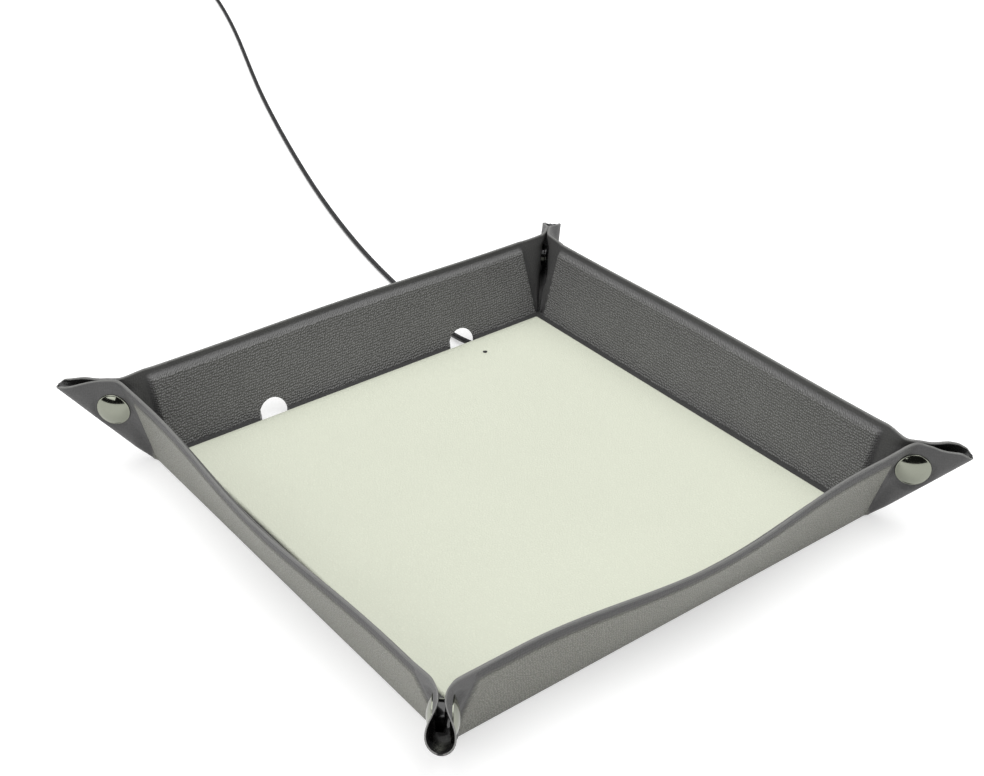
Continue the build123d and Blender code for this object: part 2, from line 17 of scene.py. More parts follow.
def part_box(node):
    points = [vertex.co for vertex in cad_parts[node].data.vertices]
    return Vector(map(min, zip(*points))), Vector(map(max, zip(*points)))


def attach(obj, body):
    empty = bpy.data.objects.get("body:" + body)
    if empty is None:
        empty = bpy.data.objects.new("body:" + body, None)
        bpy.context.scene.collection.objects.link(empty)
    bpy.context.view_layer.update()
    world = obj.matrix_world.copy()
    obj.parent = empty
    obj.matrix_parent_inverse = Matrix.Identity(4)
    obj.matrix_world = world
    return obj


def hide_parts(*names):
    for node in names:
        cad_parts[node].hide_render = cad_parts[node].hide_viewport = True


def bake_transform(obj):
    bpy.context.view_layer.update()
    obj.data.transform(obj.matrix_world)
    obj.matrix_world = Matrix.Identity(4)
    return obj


bl_info = {
    "name": "Charging Tray",
    "version": (1, 0, 0),
    "blender": (4, 5, 0),
    "location": "View3D > Sidebar > Tray",
    "description": "Dresses a folding leather tray, its hidden charger and its lead",
    "category": "Add Mesh",
}

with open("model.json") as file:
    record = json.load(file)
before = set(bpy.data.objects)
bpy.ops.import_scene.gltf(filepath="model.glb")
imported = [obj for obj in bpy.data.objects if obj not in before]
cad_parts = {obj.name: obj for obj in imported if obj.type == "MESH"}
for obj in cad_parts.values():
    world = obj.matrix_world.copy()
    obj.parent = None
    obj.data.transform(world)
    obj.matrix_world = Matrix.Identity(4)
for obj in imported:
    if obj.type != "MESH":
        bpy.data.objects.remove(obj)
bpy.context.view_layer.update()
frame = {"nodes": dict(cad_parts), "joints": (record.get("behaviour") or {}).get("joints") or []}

MM = 0.001
JOINTS = {joint["name"]: joint for joint in frame["joints"]}
HALF_FOLD = -JOINTS["front_wall_fold"]["pos_m"][1] / MM

# Directions of the walls and corners about +Z, in degrees
WALL_TURNS = {"right": 0.0, "back": 90.0, "left": 180.0, "front": 270.0}
CORNER_TURNS = {"back_right": 45.0, "back_left": 135.0, "front_left": 225.0, "front_right": 315.0}

# Lean of each wall above the table, at its first end, middle and last end, anticlockwise
WALL_LEANS = {
    "front": (75.5, 68.5, 72.5),
    "right": (72.5, 62.5, 71.0),
    "back": (77.0, 75.0, 77.5),
    "left": (77.5, 73.0, 75.5),
}

# How far each wall's inner panel stands out of the leather near its rim, in millimetres
WALL_RELIEFS = {"front": 1.0, "right": 1.0, "back": 1.7, "left": 1.7}

# The lead's route from the base to its put-away coil, in metres
LEAD_EXIT = (-0.094, 0.056, 0.0028)
LEAD_ROUTE = (
    (-0.0975, 0.0552, 0.0028), (-0.1026, 0.0546, 0.00255), (-0.112, 0.0552, 0.0013),
    (-0.129, 0.0571, 0.0013), (-0.157, 0.0609, 0.0013), (-0.196, 0.0674, 0.0013),
    (-0.238, 0.0772, 0.0013), (-0.285, 0.0904, 0.0013), (-0.335, 0.1066, 0.0013),
    (-0.388, 0.125, 0.0013), (-0.441, 0.1446, 0.0013), (-0.494, 0.1662, 0.0013),
    (-0.546, 0.1876, 0.0013), (-0.597, 0.2066, 0.0013), (-0.64, 0.2204, 0.0018),
    (-0.662, 0.2264, 0.0018),
)
LEAD_HEADING = (-0.9648, 0.2631)

# Least and greatest that a length may be set to, as shares of its default
SETTING_SHARES = (0.4, 2.5)


def size_setting(name, description, default):
    """A length in metres, as a setting."""
    least, greatest = (default * share for share in SETTING_SHARES)
    return FloatProperty(
        name=name, description=description, default=default, min=least, max=greatest, unit="LENGTH",
        precision=5,
    )


def colour_setting(name, description, default):
    """A colour, as a setting."""
    return FloatVectorProperty(
        name=name, description=description, default=default, size=3, min=0.0, max=1.0, subtype="COLOR"
    )


def power_setting(name, description, default):
    """A light's power, as a setting."""
    return FloatProperty(
        name=name, description=description, default=default, min=0.0, max=500.0, unit="POWER"
    )


class TrayWallSettings(bpy.types.PropertyGroup):
    """Sizes of the padded walls."""

    slant: size_setting("Slant", "From the fold to the rim, along the wall", 0.0385)
    flat_face: size_setting("Flat outer face", "Depth of the outer face where it isn't padded", 0.0008)
    thickness: size_setting("Leather", "Thickness of the doubled leather where there is no board", 0.0013)
    foot_relief: size_setting("Inner padding", "Extra thickness of the inner panel at its foot", 0.0024)
    outer_strip: size_setting("Outer strip", "Hollow strip between the outer panel and the rim", 0.0046)
    inner_strip: size_setting("Inner strip", "Strip between the inner panel and the rim", 0.0024)
    outer_end_foot: size_setting("Outer panel end, foot", "From the wall's end to it, at the fold", 0.0004)
    outer_end_rim: size_setting("Outer panel end, rim", "From the wall's end to it, at the rim", 0.0044)
    inner_end_foot: size_setting("Inner panel end, foot", "From the wall's end to it, at the fold", 0.0042)
    inner_end_rim: size_setting("Inner panel end, rim", "From the wall's end to it, at the rim", 0.007)
    rim_thickness: size_setting("Rim", "Thickness of the leather at the rim", 0.0012)
    bevel: size_setting("Panel edge", "Width of the rounded edge round a panel", 0.0018)
    shoulder: size_setting("Shoulder", "Width of the inner panel's rounded edge below the rim", 0.003)
    notch_width: size_setting("Notch width", "Width of a cord notch", 0.0134)
    notch_height: size_setting("Notch height", "From the fold to a cord notch's top, outside", 0.011)
    notch_inside: size_setting("Notch height inside", "The same inside, where the top slants down", 0.0091)


class TrayCornerSettings(bpy.types.PropertyGroup):
    """Sizes of the pinched corners."""

    rise: FloatProperty(
        name="Rise", description="Slope of the folded edge above the table",
        default=math.radians(40.5), min=0.3, max=1.0, subtype="ANGLE",
    )
    reach: size_setting("Reach", "From the base's corner to the tip, seen from above", 0.0374)
    thickness: size_setting("Leather", "Thickness of the leather near the tip", 0.0013)
    snap_out: size_setting("Snap out", "From the base's corner out to the snap, seen from above", 0.0135)
    snap_up: size_setting("Snap up", "From the table up to the snap", 0.0247)
    snap_face: size_setting("Snap seat", "From the corner's middle to the face under a snap cap", 0.0031)


class TrayFloorSettings(bpy.types.PropertyGroup):
    """Sizes of the base and its pale floor."""

    panel_side: size_setting("Floor panel", "Side of the pale floor panel", 0.188)
    panel_top: size_setting("Floor height", "From the table to the pale floor's face", 0.0058)
    border_top: size_setting("Border height", "From the table to the dark border's face", 0.0045)
    border_side: size_setting("Border", "Outer side of the dark border", 0.1948)
    skin_side: size_setting("Base", "Side of the leather under the base", 0.2044)
    skin: size_setting("Base leather", "Thickness of the leather under the base", 0.0011)


class TrayFinishSettings(bpy.types.PropertyGroup):
    """Colours of the tray."""

    plain: colour_setting("Leather", "Dark grey leather where it isn't padded", (0.112, 0.111, 0.111))
    # Inner and outer panels: the plain leather painted paler for the light they catch, the outer faces
    # most, lit copies of one leather
    inside: colour_setting("Inner panels", "Dark grey leather on the inner panels", (0.176, 0.175, 0.172))
    outside: colour_setting("Outer panels", "Dark grey leather on the outer panels", (0.262, 0.262, 0.228))
    # Cut edge: its edge paint set paler than the leather, a painted highlight where the rim's top faces the
    # light
    edge: colour_setting("Cut edge", "Painted edge of the cut leather", (0.15, 0.15, 0.145))
    floor: colour_setting("Floor leather", "Pale leather of the floor", (0.535, 0.555, 0.46))
    snap: colour_setting("Snap metal", "Polished dark nickel of the snap caps", (0.25, 0.26, 0.215))


class TrayLeadSettings(bpy.types.PropertyGroup):
    """Sizes of the charging lead."""

    diameter: size_setting("Lead", "Diameter of the charging lead", 0.0026)
    coil_radius: size_setting("Coil", "Radius of the put-away coil's first turn", 0.0189)
    coil_pitch: size_setting("Pitch", "From one turn of the coil to the next", 0.00305)


class TrayStageSettings(bpy.types.PropertyGroup):
    """Light and camera."""

    overhead: power_setting("Overhead", "Power of the large light above the tray", 26.0)
    fill: power_setting("Fill", "Power of the light beside the camera", 6.0)
    lens: FloatProperty(
        name="Lens", description="Focal length of the camera",
        default=55.6, min=20.0, max=200.0, unit="CAMERA",
    )


def in_mm(length):
    """A setting in metres as millimetres."""
    return length / MM


def smooth(share):
    """Smoothstep: 0 below 0, 1 above 1, with level ends."""
    held = np.clip(share, 0.0, 1.0)
    return held * held * (3.0 - 2.0 * held)


def eased(value, start, run):
    """Smooth step of a value that starts at a length and is over after a run."""
    return smooth((value - start) / run)


def level(angle, length=1.0):
    """A level vector of a length, at an angle in degrees from +X."""
    turn = math.radians(angle)
    return np.array([math.cos(turn), math.sin(turn), 0.0]) * length


class Shell:
    """Grids of points in millimetres that become one mesh."""

    def __init__(self):
        self.points = []
        self.faces = []
        self.values = {"rim": [], "pad": [], "out": [], "painted_tail_shade": []}
        self.total = 0

    def add(self, grid, rim=None, pad=None, out=None, painted_tail_shade=None):
        """Quads between the neighbours of a grid of points."""
        rows, columns = grid.shape[:2]
        index = np.arange(rows * columns).reshape(rows, columns) + self.total
        quads = np.stack(
            [index[:-1, :-1], index[1:, :-1], index[1:, 1:], index[:-1, 1:]], axis=-1
        )
        self.points.append(grid.reshape(-1, 3))
        self.faces.extend(quads.reshape(-1, 4).tolist())
        for name, values in (("rim", rim), ("pad", pad), ("out", out), ("painted_tail_shade", painted_tail_shade)):
            filled = np.broadcast_to(0.0 if values is None else values, (rows, columns))
            self.values[name].append(filled.reshape(-1))
        self.total += rows * columns
        return index

    def close(self, loop):
        """One face over a loop of points, given by their indices."""
        self.faces.append([int(point) for point in loop])

    def finish(self, name, merge=0.00001, sharp=40.0, recalculate=True):
        """The mesh object, with doubles merged, faces outwards and sharp edges kept."""
        mesh = bpy.data.meshes.new(name)
        points = np.concatenate(self.points) * MM
        mesh.from_pydata(points.tolist(), [], self.faces)
        for key, parts in self.values.items():
            attribute = mesh.attributes.new(key, "FLOAT", "POINT")
            attribute.data.foreach_set("value", np.concatenate(parts).astype(np.float32))
        place = mesh.attributes.new("place", "FLOAT_VECTOR", "POINT")
        place.data.foreach_set("vector", points.astype(np.float32).reshape(-1))
        built = bmesh.new()
        built.from_mesh(mesh)
        bmesh.ops.remove_doubles(built, verts=built.verts, dist=merge)
        bmesh.ops.dissolve_degenerate(built, edges=built.edges, dist=merge / 10.0)
        if recalculate:
            bmesh.ops.recalc_face_normals(built, faces=built.faces)
        built.to_mesh(mesh)
        built.free()
        mesh.shade_smooth()
        mesh.set_sharp_from_angle(angle=math.radians(sharp))
        piece = bpy.data.objects.new(name, mesh)
        bpy.context.scene.collection.objects.link(piece)
        return piece


def solid_of_loops(shell, loops, *marks):
    """Closed solid from a row of closed loops of points, with both ends capped."""
    closed = [np.concatenate([values, values[:, :1]], axis=1) for values in (loops, *marks)]
    index = shell.add(*closed)
    shell.close(index[0, :-1])
    shell.close(index[-1, :-1][::-1])


class Signal:
    """A shader socket that takes part in Python arithmetic."""

    def __init__(self, finish, socket):
        self.finish = finish
        self.socket = socket

    def _with(self, operation, first, second):
        return self.finish.node("ShaderNodeMath", {"operation": operation}, {0: first, 1: second})

    def __add__(self, other):
        return self._with("ADD", self, other)

    __radd__ = __add__

    def __sub__(self, other):
        return self._with("SUBTRACT", self, other)

    def __rsub__(self, other):
        return self._with("SUBTRACT", other, self)

    def __mul__(self, other):
        return self._with("MULTIPLY", self, other)

    __rmul__ = __mul__


class Finish:
    """A material, or a world, being wired from nodes."""

    def __init__(self, name, kind="materials"):
        self.owner = getattr(bpy.data, kind).new(name)
        self.owner.use_nodes = True
        self.tree = self.owner.node_tree
        self.tree.nodes.clear()

    def node(self, kind, settings=None, values=None, output=0):
        """A node of a type, with its settings first and then its sockets' values or links."""
        made = self.tree.nodes.new(kind)
        for key, value in (settings or {}).items():
            setattr(made, key, value)
        for key, value in (values or {}).items():
            if isinstance(value, Signal):
                self.tree.links.new(value.socket, made.inputs[key])
            else:
                made.inputs[key].default_value = value
        return Signal(self, made.outputs[output])

    def place(self):
        """Object coordinates, in metres."""
        return self.node("ShaderNodeTexCoord", output="Object")

    def grain_place(self):
        """Coordinates kept on the mesh's points, so that a grain stays on leather that bends."""
        return self.node("ShaderNodeAttribute", {"attribute_name": "place"}, output="Vector")

    def axis(self, place, name):
        """One coordinate of a place."""
        return self.node("ShaderNodeSeparateXYZ", None, {"Vector": place}, output=name)

    def attribute(self, name):
        """A number kept on the mesh's points."""
        return self.node("ShaderNodeAttribute", {"attribute_name": name}, output="Fac")

    def noise(self, scale, detail=3.0, roughness=0.55, place=None):
        """Noise from 0 to 1 over the piece, scale in cycles a metre."""
        values = {"Vector": place or self.place(), "Scale": scale, "Detail": detail, "Roughness": roughness}
        return self.node("ShaderNodeTexNoise", {"noise_dimensions": "3D"}, values)

    def between(self, signal, low, high, first=0.0, last=1.0):
        """Signal's smooth step from low to high, as first to last."""
        values = {"Value": signal, 1: low, 2: high, 3: first, 4: last}
        return self.node("ShaderNodeMapRange", {"interpolation_type": "SMOOTHSTEP"}, values)

    def mix(self, share, first, second, way="MIX"):
        """Colour between two colours, or their product."""
        values = {"Factor": share, 6: first, 7: second}
        return self.node("ShaderNodeMix", {"data_type": "RGBA", "blend_type": way}, values, output=2)

    def cells(self, place, scale, loose, feature, flat="3D"):
        """Distances in a pattern of cells, scale in cells a metre."""
        settings = {"voronoi_dimensions": flat, "feature": feature}
        values = {"Vector": place, "Scale": scale, "Randomness": loose}
        return self.node("ShaderNodeTexVoronoi", settings, values, "Distance")

    def bump(self, height, distance, strength):
        """Normal raised by a height from 0 to 1, distance in metres."""
        values = {"Height": height, "Distance": distance, "Strength": strength}
        return self.node("ShaderNodeBump", None, values)

    def shade(self, **values):
        """Principled surface from named sockets, joined to the output. Returns the material."""
        sockets = {key.replace("_", " "): value for key, value in values.items()}
        surface = self.node("ShaderNodeBsdfPrincipled", None, sockets, output="BSDF")
        return self.join(surface, "ShaderNodeOutputMaterial")

    def join(self, surface, kind):
        """Joins a surface to an output of a kind. Returns the material or world."""
        shown = self.tree.nodes.new(kind)
        self.tree.links.new(surface.socket, shown.inputs["Surface"])
        return self.owner


def solid_colour(colour, share=1.0):
    """A colour with full alpha, dimmed to a share."""
    return (*(share * channel for channel in colour[:3]), 1.0)


# Leather: pebbles a metre along the walls and up them, by how many pebbles their rows wander, how
# loosely they lie, and from a pebble's middle out to its edge and to its crown, in pebbles
PEBBLES_ALONG = 940.0
PEBBLES_UP = 960.0
WANDER = 1.6
WANDER_UP_SHARE = 0.7
PEBBLES_LOOSE = 0.5
PEBBLE_ENDS = (0.60, 0.05)
PLAIN_GRAIN_SHARE = 0.15
FINE_HEIGHT_SHARE = 0.10
# Painted shade, near black, on the tails' inner faces
TAIL_PAINTED_SHADE = (0.012, 0.012, 0.012, 1.0)

# Pale leather's cells: how many a metre, how loosely they lie, and where a cell's edge rises
PALE_CELLS = (900.0, 0.9)
PALE_ENDS = (0.02, 0.28)
PALE_HEIGHT_SHARE = 0.25

# Noises: cycles a metre, detail and roughness, but for the spark-eroded grain its last two alone
BENT_NOISE = (150.0, 2.0, 0.5)
FINE_NOISE = (2600.0, 3.0, 0.6)
BROAD_NOISE = (60.0, 3.0, 0.5)
PALE_FINE_NOISE = (2400.0, 3.0, 0.6)
PALE_BROAD_NOISE = (24.0, 2.0, 0.5)
MARK_NOISE = (420.0, 4.0, 0.65)
SPARK_NOISE = (3.0, 0.6)
FIBRE_NOISE = (700.0, 5.0, 0.7)
PAPER_NOISE = (3.0, 2.0)
RINGS = 230.0

# What each signal adds to a finish's tone or roughness, and last what is there without them
# The pebbles' share paints their crowns lighter and the gaps between them darker: grain, with painted
# highlight and painted shade
LEATHER_TONE_SHARES = (0.42, 0.20, 0.10, 0.52)
LEATHER_ROUGH_SHARES = (-0.08, 0.08, -0.22, 0.50)
PALE_TONE_SHARES = (0.28, 0.25, 0.12, 0.22)
PALE_ROUGH_SHARES = (-0.06, 0.62)
BOARD_ROUGH_SHARES = (0.0, 0.85)
MARK_ROUGH_SHARE = 0.05
SPARK_ROUGH_SHARE = 0.12

# The darkest and palest of a finish, as shares of its colour, or as colours
PALE_SHARES = (0.90, 1.05)
METAL_SHARES = (0.94, 1.04)
MOULDED_SHARES = (0.85, 1.12)
BOARD_COLOURS = ((0.055, 0.052, 0.047, 1.0), (0.10, 0.094, 0.084, 1.0))
COPPER_COLOURS = ((0.30, 0.10, 0.035, 1.0), (0.72, 0.33, 0.15, 1.0))
PAPER_COLOURS = ((0.60, 0.60, 0.60, 1.0), (0.62, 0.62, 0.62, 1.0))

# How far each grain stands out, in metres, and how strongly it shows
PEBBLE_BUMP = (0.0004, 0.9)
PALE_BUMP = (0.00012, 0.6)
MARK_BUMP = (0.00001, 0.15)
FIBRE_BUMP = (0.0001, 0.6)
RING_BUMP = (0.0002, 0.8)
SPARK_STRENGTH = 0.5
SPARK_DEPTH = 0.00004
RUBBER_DEPTH = 0.00002
WEAVE_DEPTH = 0.0001


def shades(colour, shares):
    """A colour dimmed to each of some shares."""
    return [solid_colour(colour, share) for share in shares]


def weighed(shares, *signals):
    """Signals times their shares, added up, and the one share that is left over."""
    return sum((signal * share for signal, share in zip(signals, shares)), shares[-1])


def leather(name, finishes, run="upright", dimmed_by_painted_shade=1.0):
    """Pebbled artificial leather: domes round the points of a loose grid laid along the piece's
    run, their crowns painted lighter as highlights and the gaps between them darker as painted
    shade, deeper on the padded panels; the panels painted paler, the outer faces most, for the
    light they catch; the cut edge's paint made paler as a painted highlight along the rim;
    painted shade, near black, inside the tails; where a share is given, the plain leather
    dimmed by it as painted shade."""
    finish = Finish(name)
    place = finish.grain_place()
    pad = finish.attribute("pad")
    painted_tail_shade = finish.attribute("painted_tail_shade")
    x, y, z = (finish.axis(place, axis) for axis in "XYZ")
    bent = finish.noise(*BENT_NOISE, place) * WANDER
    along, up = {"upright": (x + y, z), "turned": (x - y, z), "level": (x, y)}[run]
    grid = {"X": along * PEBBLES_ALONG + bent, "Y": up * PEBBLES_UP + bent * WANDER_UP_SHARE}
    laid = finish.node("ShaderNodeCombineXYZ", None, grid)
    pebbles = finish.between(finish.cells(laid, 1.0, PEBBLES_LOOSE, "F1", flat="2D"), *PEBBLE_ENDS)
    fine = finish.noise(*FINE_NOISE, place)
    broad = finish.noise(*BROAD_NOISE, place)
    grained = pebbles * weighed((1.0 - PLAIN_GRAIN_SHARE, PLAIN_GRAIN_SHARE), pad)
    # Padded panels painted paler than the plain leather, lit copies of the same leather, the outer face
    # palest where the light falls
    sides = solid_colour(finishes.inside), solid_colour(finishes.outside)
    lit_panel_colour = finish.mix(finish.attribute("out"), *sides)
    # Where a share is given, the plain leather is dimmed by it as painted shade
    body = finish.mix(pad, solid_colour(finishes.plain, dimmed_by_painted_shade), lit_panel_colour)
    # Pebble crowns painted lighter as highlights, the gaps between them darker as painted shade; broad and
    # fine noise vary the tone at random
    tone = weighed(LEATHER_TONE_SHARES, grained, broad, fine)
    # Painted shade: the tails' inner faces turn near black, and glossier
    shaded = finish.mix(painted_tail_shade, finish.mix(1.0, body, tone, "MULTIPLY"), TAIL_PAINTED_SHADE)
    # The rim's top gets the paler cut edge colour: edge paint made paler as a painted highlight
    painted = finish.mix(finish.attribute("rim"), shaded, solid_colour(finishes.edge))
    return finish.shade(
        Base_Color=painted,
        Roughness=weighed(LEATHER_ROUGH_SHARES, pebbles, broad, painted_tail_shade),
        Specular_IOR_Level=0.42,
        Normal=finish.bump(grained + fine * FINE_HEIGHT_SHARE, *PEBBLE_BUMP),
    )


def pale_leather(name, colour):
    """Pale floor leather with a fine, even grain."""
    finish = Finish(name)
    place = finish.place()
    grain = finish.between(finish.cells(place, *PALE_CELLS, "DISTANCE_TO_EDGE"), *PALE_ENDS)
    fine = finish.noise(*PALE_FINE_NOISE, place)
    broad = finish.noise(*PALE_BROAD_NOISE, place)
    tone = weighed(PALE_TONE_SHARES, grain, broad, fine)
    return finish.shade(
        Base_Color=finish.mix(tone, *shades(colour, PALE_SHARES)),
        Roughness=weighed(PALE_ROUGH_SHARES, grain),
        Specular_IOR_Level=0.35,
        Normal=finish.bump(grain + fine * PALE_HEIGHT_SHARE, *PALE_BUMP),
    )


def grained_finish(name, noise, colours, rough_shares, bump, **more):
    """A finish whose colour, roughness and height all follow one noise."""
    finish = Finish(name)
    grain = finish.noise(*noise)
    return finish.shade(
        Base_Color=finish.mix(grain, *colours),
        Roughness=weighed(rough_shares, grain),
        Normal=finish.bump(grain, *bump),
        **more,
    )


def polished_metal(name, colour, rough=0.07):
    """Plated metal with faint handling marks."""
    colours = shades(colour, METAL_SHARES)
    return grained_finish(name, MARK_NOISE, colours, (MARK_ROUGH_SHARE, rough), MARK_BUMP, Metallic=1.0)


def moulded(name, colour, rough=0.45, grain=1500.0, depth=SPARK_DEPTH):
    """Moulded plastic or rubber with a fine spark-eroded grain."""
    colours = shades(colour, MOULDED_SHARES)
    bump = depth, SPARK_STRENGTH
    return grained_finish(name, (grain, *SPARK_NOISE), colours, (SPARK_ROUGH_SHARE, rough), bump)


def grey_board(name):
    """Grey stiffening board with pressed fibres."""
    return grained_finish(name, FIBRE_NOISE, BOARD_COLOURS, BOARD_ROUGH_SHARES, FIBRE_BUMP)


def wound_copper(name):
    """Flat coil of enamelled wire: rings about the coil's own middle."""
    finish = Finish(name)
    low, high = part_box("charging_coil")
    middle = [(a + b) / 2 for a, b in zip(low, high)]
    shifted = {"Vector": finish.place(), "Location": (-middle[0], -middle[1], -middle[2])}
    centred = finish.node("ShaderNodeMapping", {"vector_type": "POINT"}, shifted)
    kind = {"wave_type": "RINGS", "rings_direction": "Z", "wave_profile": "SIN"}
    rings = finish.node("ShaderNodeTexWave", kind, {"Vector": centred, "Scale": RINGS}, "Fac")
    body = finish.mix(rings, *COPPER_COLOURS)
    ridges = finish.bump(rings, *RING_BUMP)
    return finish.shade(Base_Color=body, Metallic=1.0, Roughness=0.32, Normal=ridges)


def wear(piece, material):
    """Gives a piece one material."""
    piece.data.materials.clear()
    piece.data.materials.append(material)


def dress_piece(piece, material, slot, *nodes, body=None):
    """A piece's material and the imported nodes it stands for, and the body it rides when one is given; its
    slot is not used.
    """
    wear(piece, material)
    if body:
        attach(piece, body)
    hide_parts(*nodes)


def dress_nodes(material, *names):
    """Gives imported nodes' objects a new material in their own slots."""
    for name in names:
        for slot in frame["nodes"][name].material_slots:
            slot.material = material


# Walls
BOW_SHARE = 0.8


def wall_lean(name, along):
    """Lean in degrees along a wall: a smooth step from one end's lean to the other's, plus a
    squared-cosine bow that has faded out before the corners."""
    first, middle, last = WALL_LEANS[name]
    reach = BOW_SHARE * HALF_FOLD
    steady = first + (last - first) * smooth((along + reach) / (2.0 * reach))
    bow = np.cos(np.clip(along / reach, -1.0, 1.0) * math.pi / 2.0) ** 2
    return steady + (middle - (first + last) / 2.0) * bow


def wall_points(name, along, up, depth):
    """Points of a wall at distances along it, up its slant from the fold, and in from its face."""
    outward = level(WALL_TURNS[name])
    beside = level(WALL_TURNS[name] + 90.0)
    lean = np.radians(wall_lean(name, along))
    out = HALF_FOLD + up * np.cos(lean) - depth * np.sin(lean)
    height = up * np.sin(lean) + depth * np.cos(lean)
    rise = np.array([0.0, 0.0, 1.0])
    return out[..., None] * outward + along[..., None] * beside + height[..., None] * rise


# Where the inner and outer panels' padding starts above the fold
PANEL_FOOT = -0.4
OUTER_FOOT = -0.8

# From a wall's end to its seam, at the fold and at the rim
SEAM_FOOT = 2.4
SEAM_RIM = 13.9

# The hollow under the rim, where the leather thins to it, and the inner panel's crown and taper
LIP_DROP = 2.5
LIP_WIDTH = 1.25
LIP_DEPTH = 0.7
THIN_DROP = 1.6
THIN_RUN = 3.0
CROWN = 0.15
TAPER_POWER = 1.3


def seam_at(settings, up):
    """From a wall's end to the seam with its corner piece, at a distance up the wall."""
    return SEAM_FOOT + (SEAM_RIM - SEAM_FOOT) * up / in_mm(settings.slant)


def panel_share(settings, from_end, up, foot, strip, shoulder, foot_end, rim_end):
    """Share of a panel's padding: smooth steps in from its foot, rim and slanted ends, multiplied."""
    bevel = in_mm(settings.bevel)
    top = in_mm(settings.slant - strip)
    end = in_mm(foot_end) + in_mm(rim_end - foot_end) * up / in_mm(settings.slant)
    below_top = smooth((top - up) / in_mm(shoulder))
    return smooth((up - foot) / bevel) * below_top * smooth((from_end - end) / bevel)


def outer_share(settings, from_end, up):
    """Padding of the outer panel, which reaches down to the fold."""
    ends = settings.outer_end_foot, settings.outer_end_rim
    return panel_share(settings, from_end, up, OUTER_FOOT, settings.outer_strip, settings.bevel, *ends)


def inner_share(settings, from_end, up):
    """Padding of the inner panel."""
    ends = settings.inner_end_foot, settings.inner_end_rim
    return panel_share(settings, from_end, up, PANEL_FOOT, settings.inner_strip, settings.shoulder, *ends)


def outer_rise(settings, from_end, up):
    """How far the outer face stands out of the flat leather: padding, less a hollow under the rim."""
    middle = in_mm(settings.slant) - LIP_DROP
    hollow = LIP_DEPTH * np.exp(-(((up - middle) / LIP_WIDTH) ** 2))
    beside = smooth((from_end - in_mm(settings.outer_end_rim)) / in_mm(settings.bevel) + 1.0)
    return in_mm(settings.flat_face) * outer_share(settings, from_end, up) - hollow * beside


def leather_depth(settings, up):
    """Thickness of the wall's leather: doubled, and thinner at its rim."""
    thin = in_mm(settings.rim_thickness)
    below = smooth((in_mm(settings.slant) - up - THIN_DROP) / THIN_RUN)
    return thin + (in_mm(settings.thickness) - thin) * below


def inner_rise(settings, name, from_end, up):
    """How far a wall's inner panel stands in from the leather: thicker to its foot, slightly crowned."""
    share = np.clip(up / in_mm(settings.slant), 0.0, 1.0)
    relief = WALL_RELIEFS[name] + in_mm(settings.foot_relief) * (1.0 - share) ** TAPER_POWER
    relief = relief + CROWN * (1.0 - (2.0 * share - 1.0) ** 2)
    return relief * inner_share(settings, from_end, up)


# How much further from a corner a wall's inner panel ends, at its foot and at its rim
END_SHIFTS = {
    ("left", "front_left"): (0.0, -3.6),
    ("back", "back_right"): (0.0, -3.6),
    ("back", "back_left"): (3.0, 0.0),
}


def end_shift(settings, wall, corner, up):
    """The shift of an inner panel's slanted end, at a distance up the wall."""
    foot, rim = END_SHIFTS.get((wall, corner), (0.0, 0.0))
    return foot + (rim - foot) * up / in_mm(settings.slant)


def corner_at(wall, side):
    """The corner at a wall's first end, side -1, or its last, side 1."""
    turn = (WALL_TURNS[wall] + 45.0 * side) % 360.0
    return next(name for name, at in CORNER_TURNS.items() if at == turn)


def panel_distance(settings, name, along, up):
    """From a wall's end to a point of its inner face, less that end's shift."""
    first, last = (end_shift(settings, name, corner_at(name, side), up) for side in (-1, 1))
    return HALF_FOLD - np.abs(along) - np.where(along < 0.0, first, last)


RIM_PROFILE = ((0.0, 0.0), (0.6, 0.08), (0.95, 0.25), (1.0, 0.5), (0.95, 0.75), (0.6, 0.92), (0.0, 1.0))
RIM_ROUND = 0.35
FACE_ROWS = 76
LEAST_COLUMNS = 32
COLUMN_STEP = 1.3
FACE_START = 0.1
FOOT_LIFT = 2.2

# Under a wall, from its inner face round to its outer one: out from the fold, and up
FOOT_CURVE = (
    (-4.8, 2.9), (-4.6, 1.9), (-4.35, 1.35), (-4.1, 1.15), (-4.1, 0.02), (-1.6, 0.02), (-0.6, 0.02)
)

# Middle of each cord notch along the left wall, at its outer face and at its inner one
NOTCHES = ((-56.0, -51.7), (44.9, 48.5))
NOTCH_DEPTH = 6.0
HAIR = 0.02

# Where a wall's bend at its fold would start and stop: inside it, outside it, and up
BEND_INSIDE = 4.0
BEND_OUTSIDE = 0.5
BEND_UP = 3.0


def from_fold(name, along, out, height):
    """Distances up a wall and in from its face, of a point so far out from the fold and so high."""
    lean = np.radians(wall_lean(name, along))
    up = out * np.cos(lean) + height * np.sin(lean)
    depth = height * np.cos(lean) - out * np.sin(lean)
    return up, depth


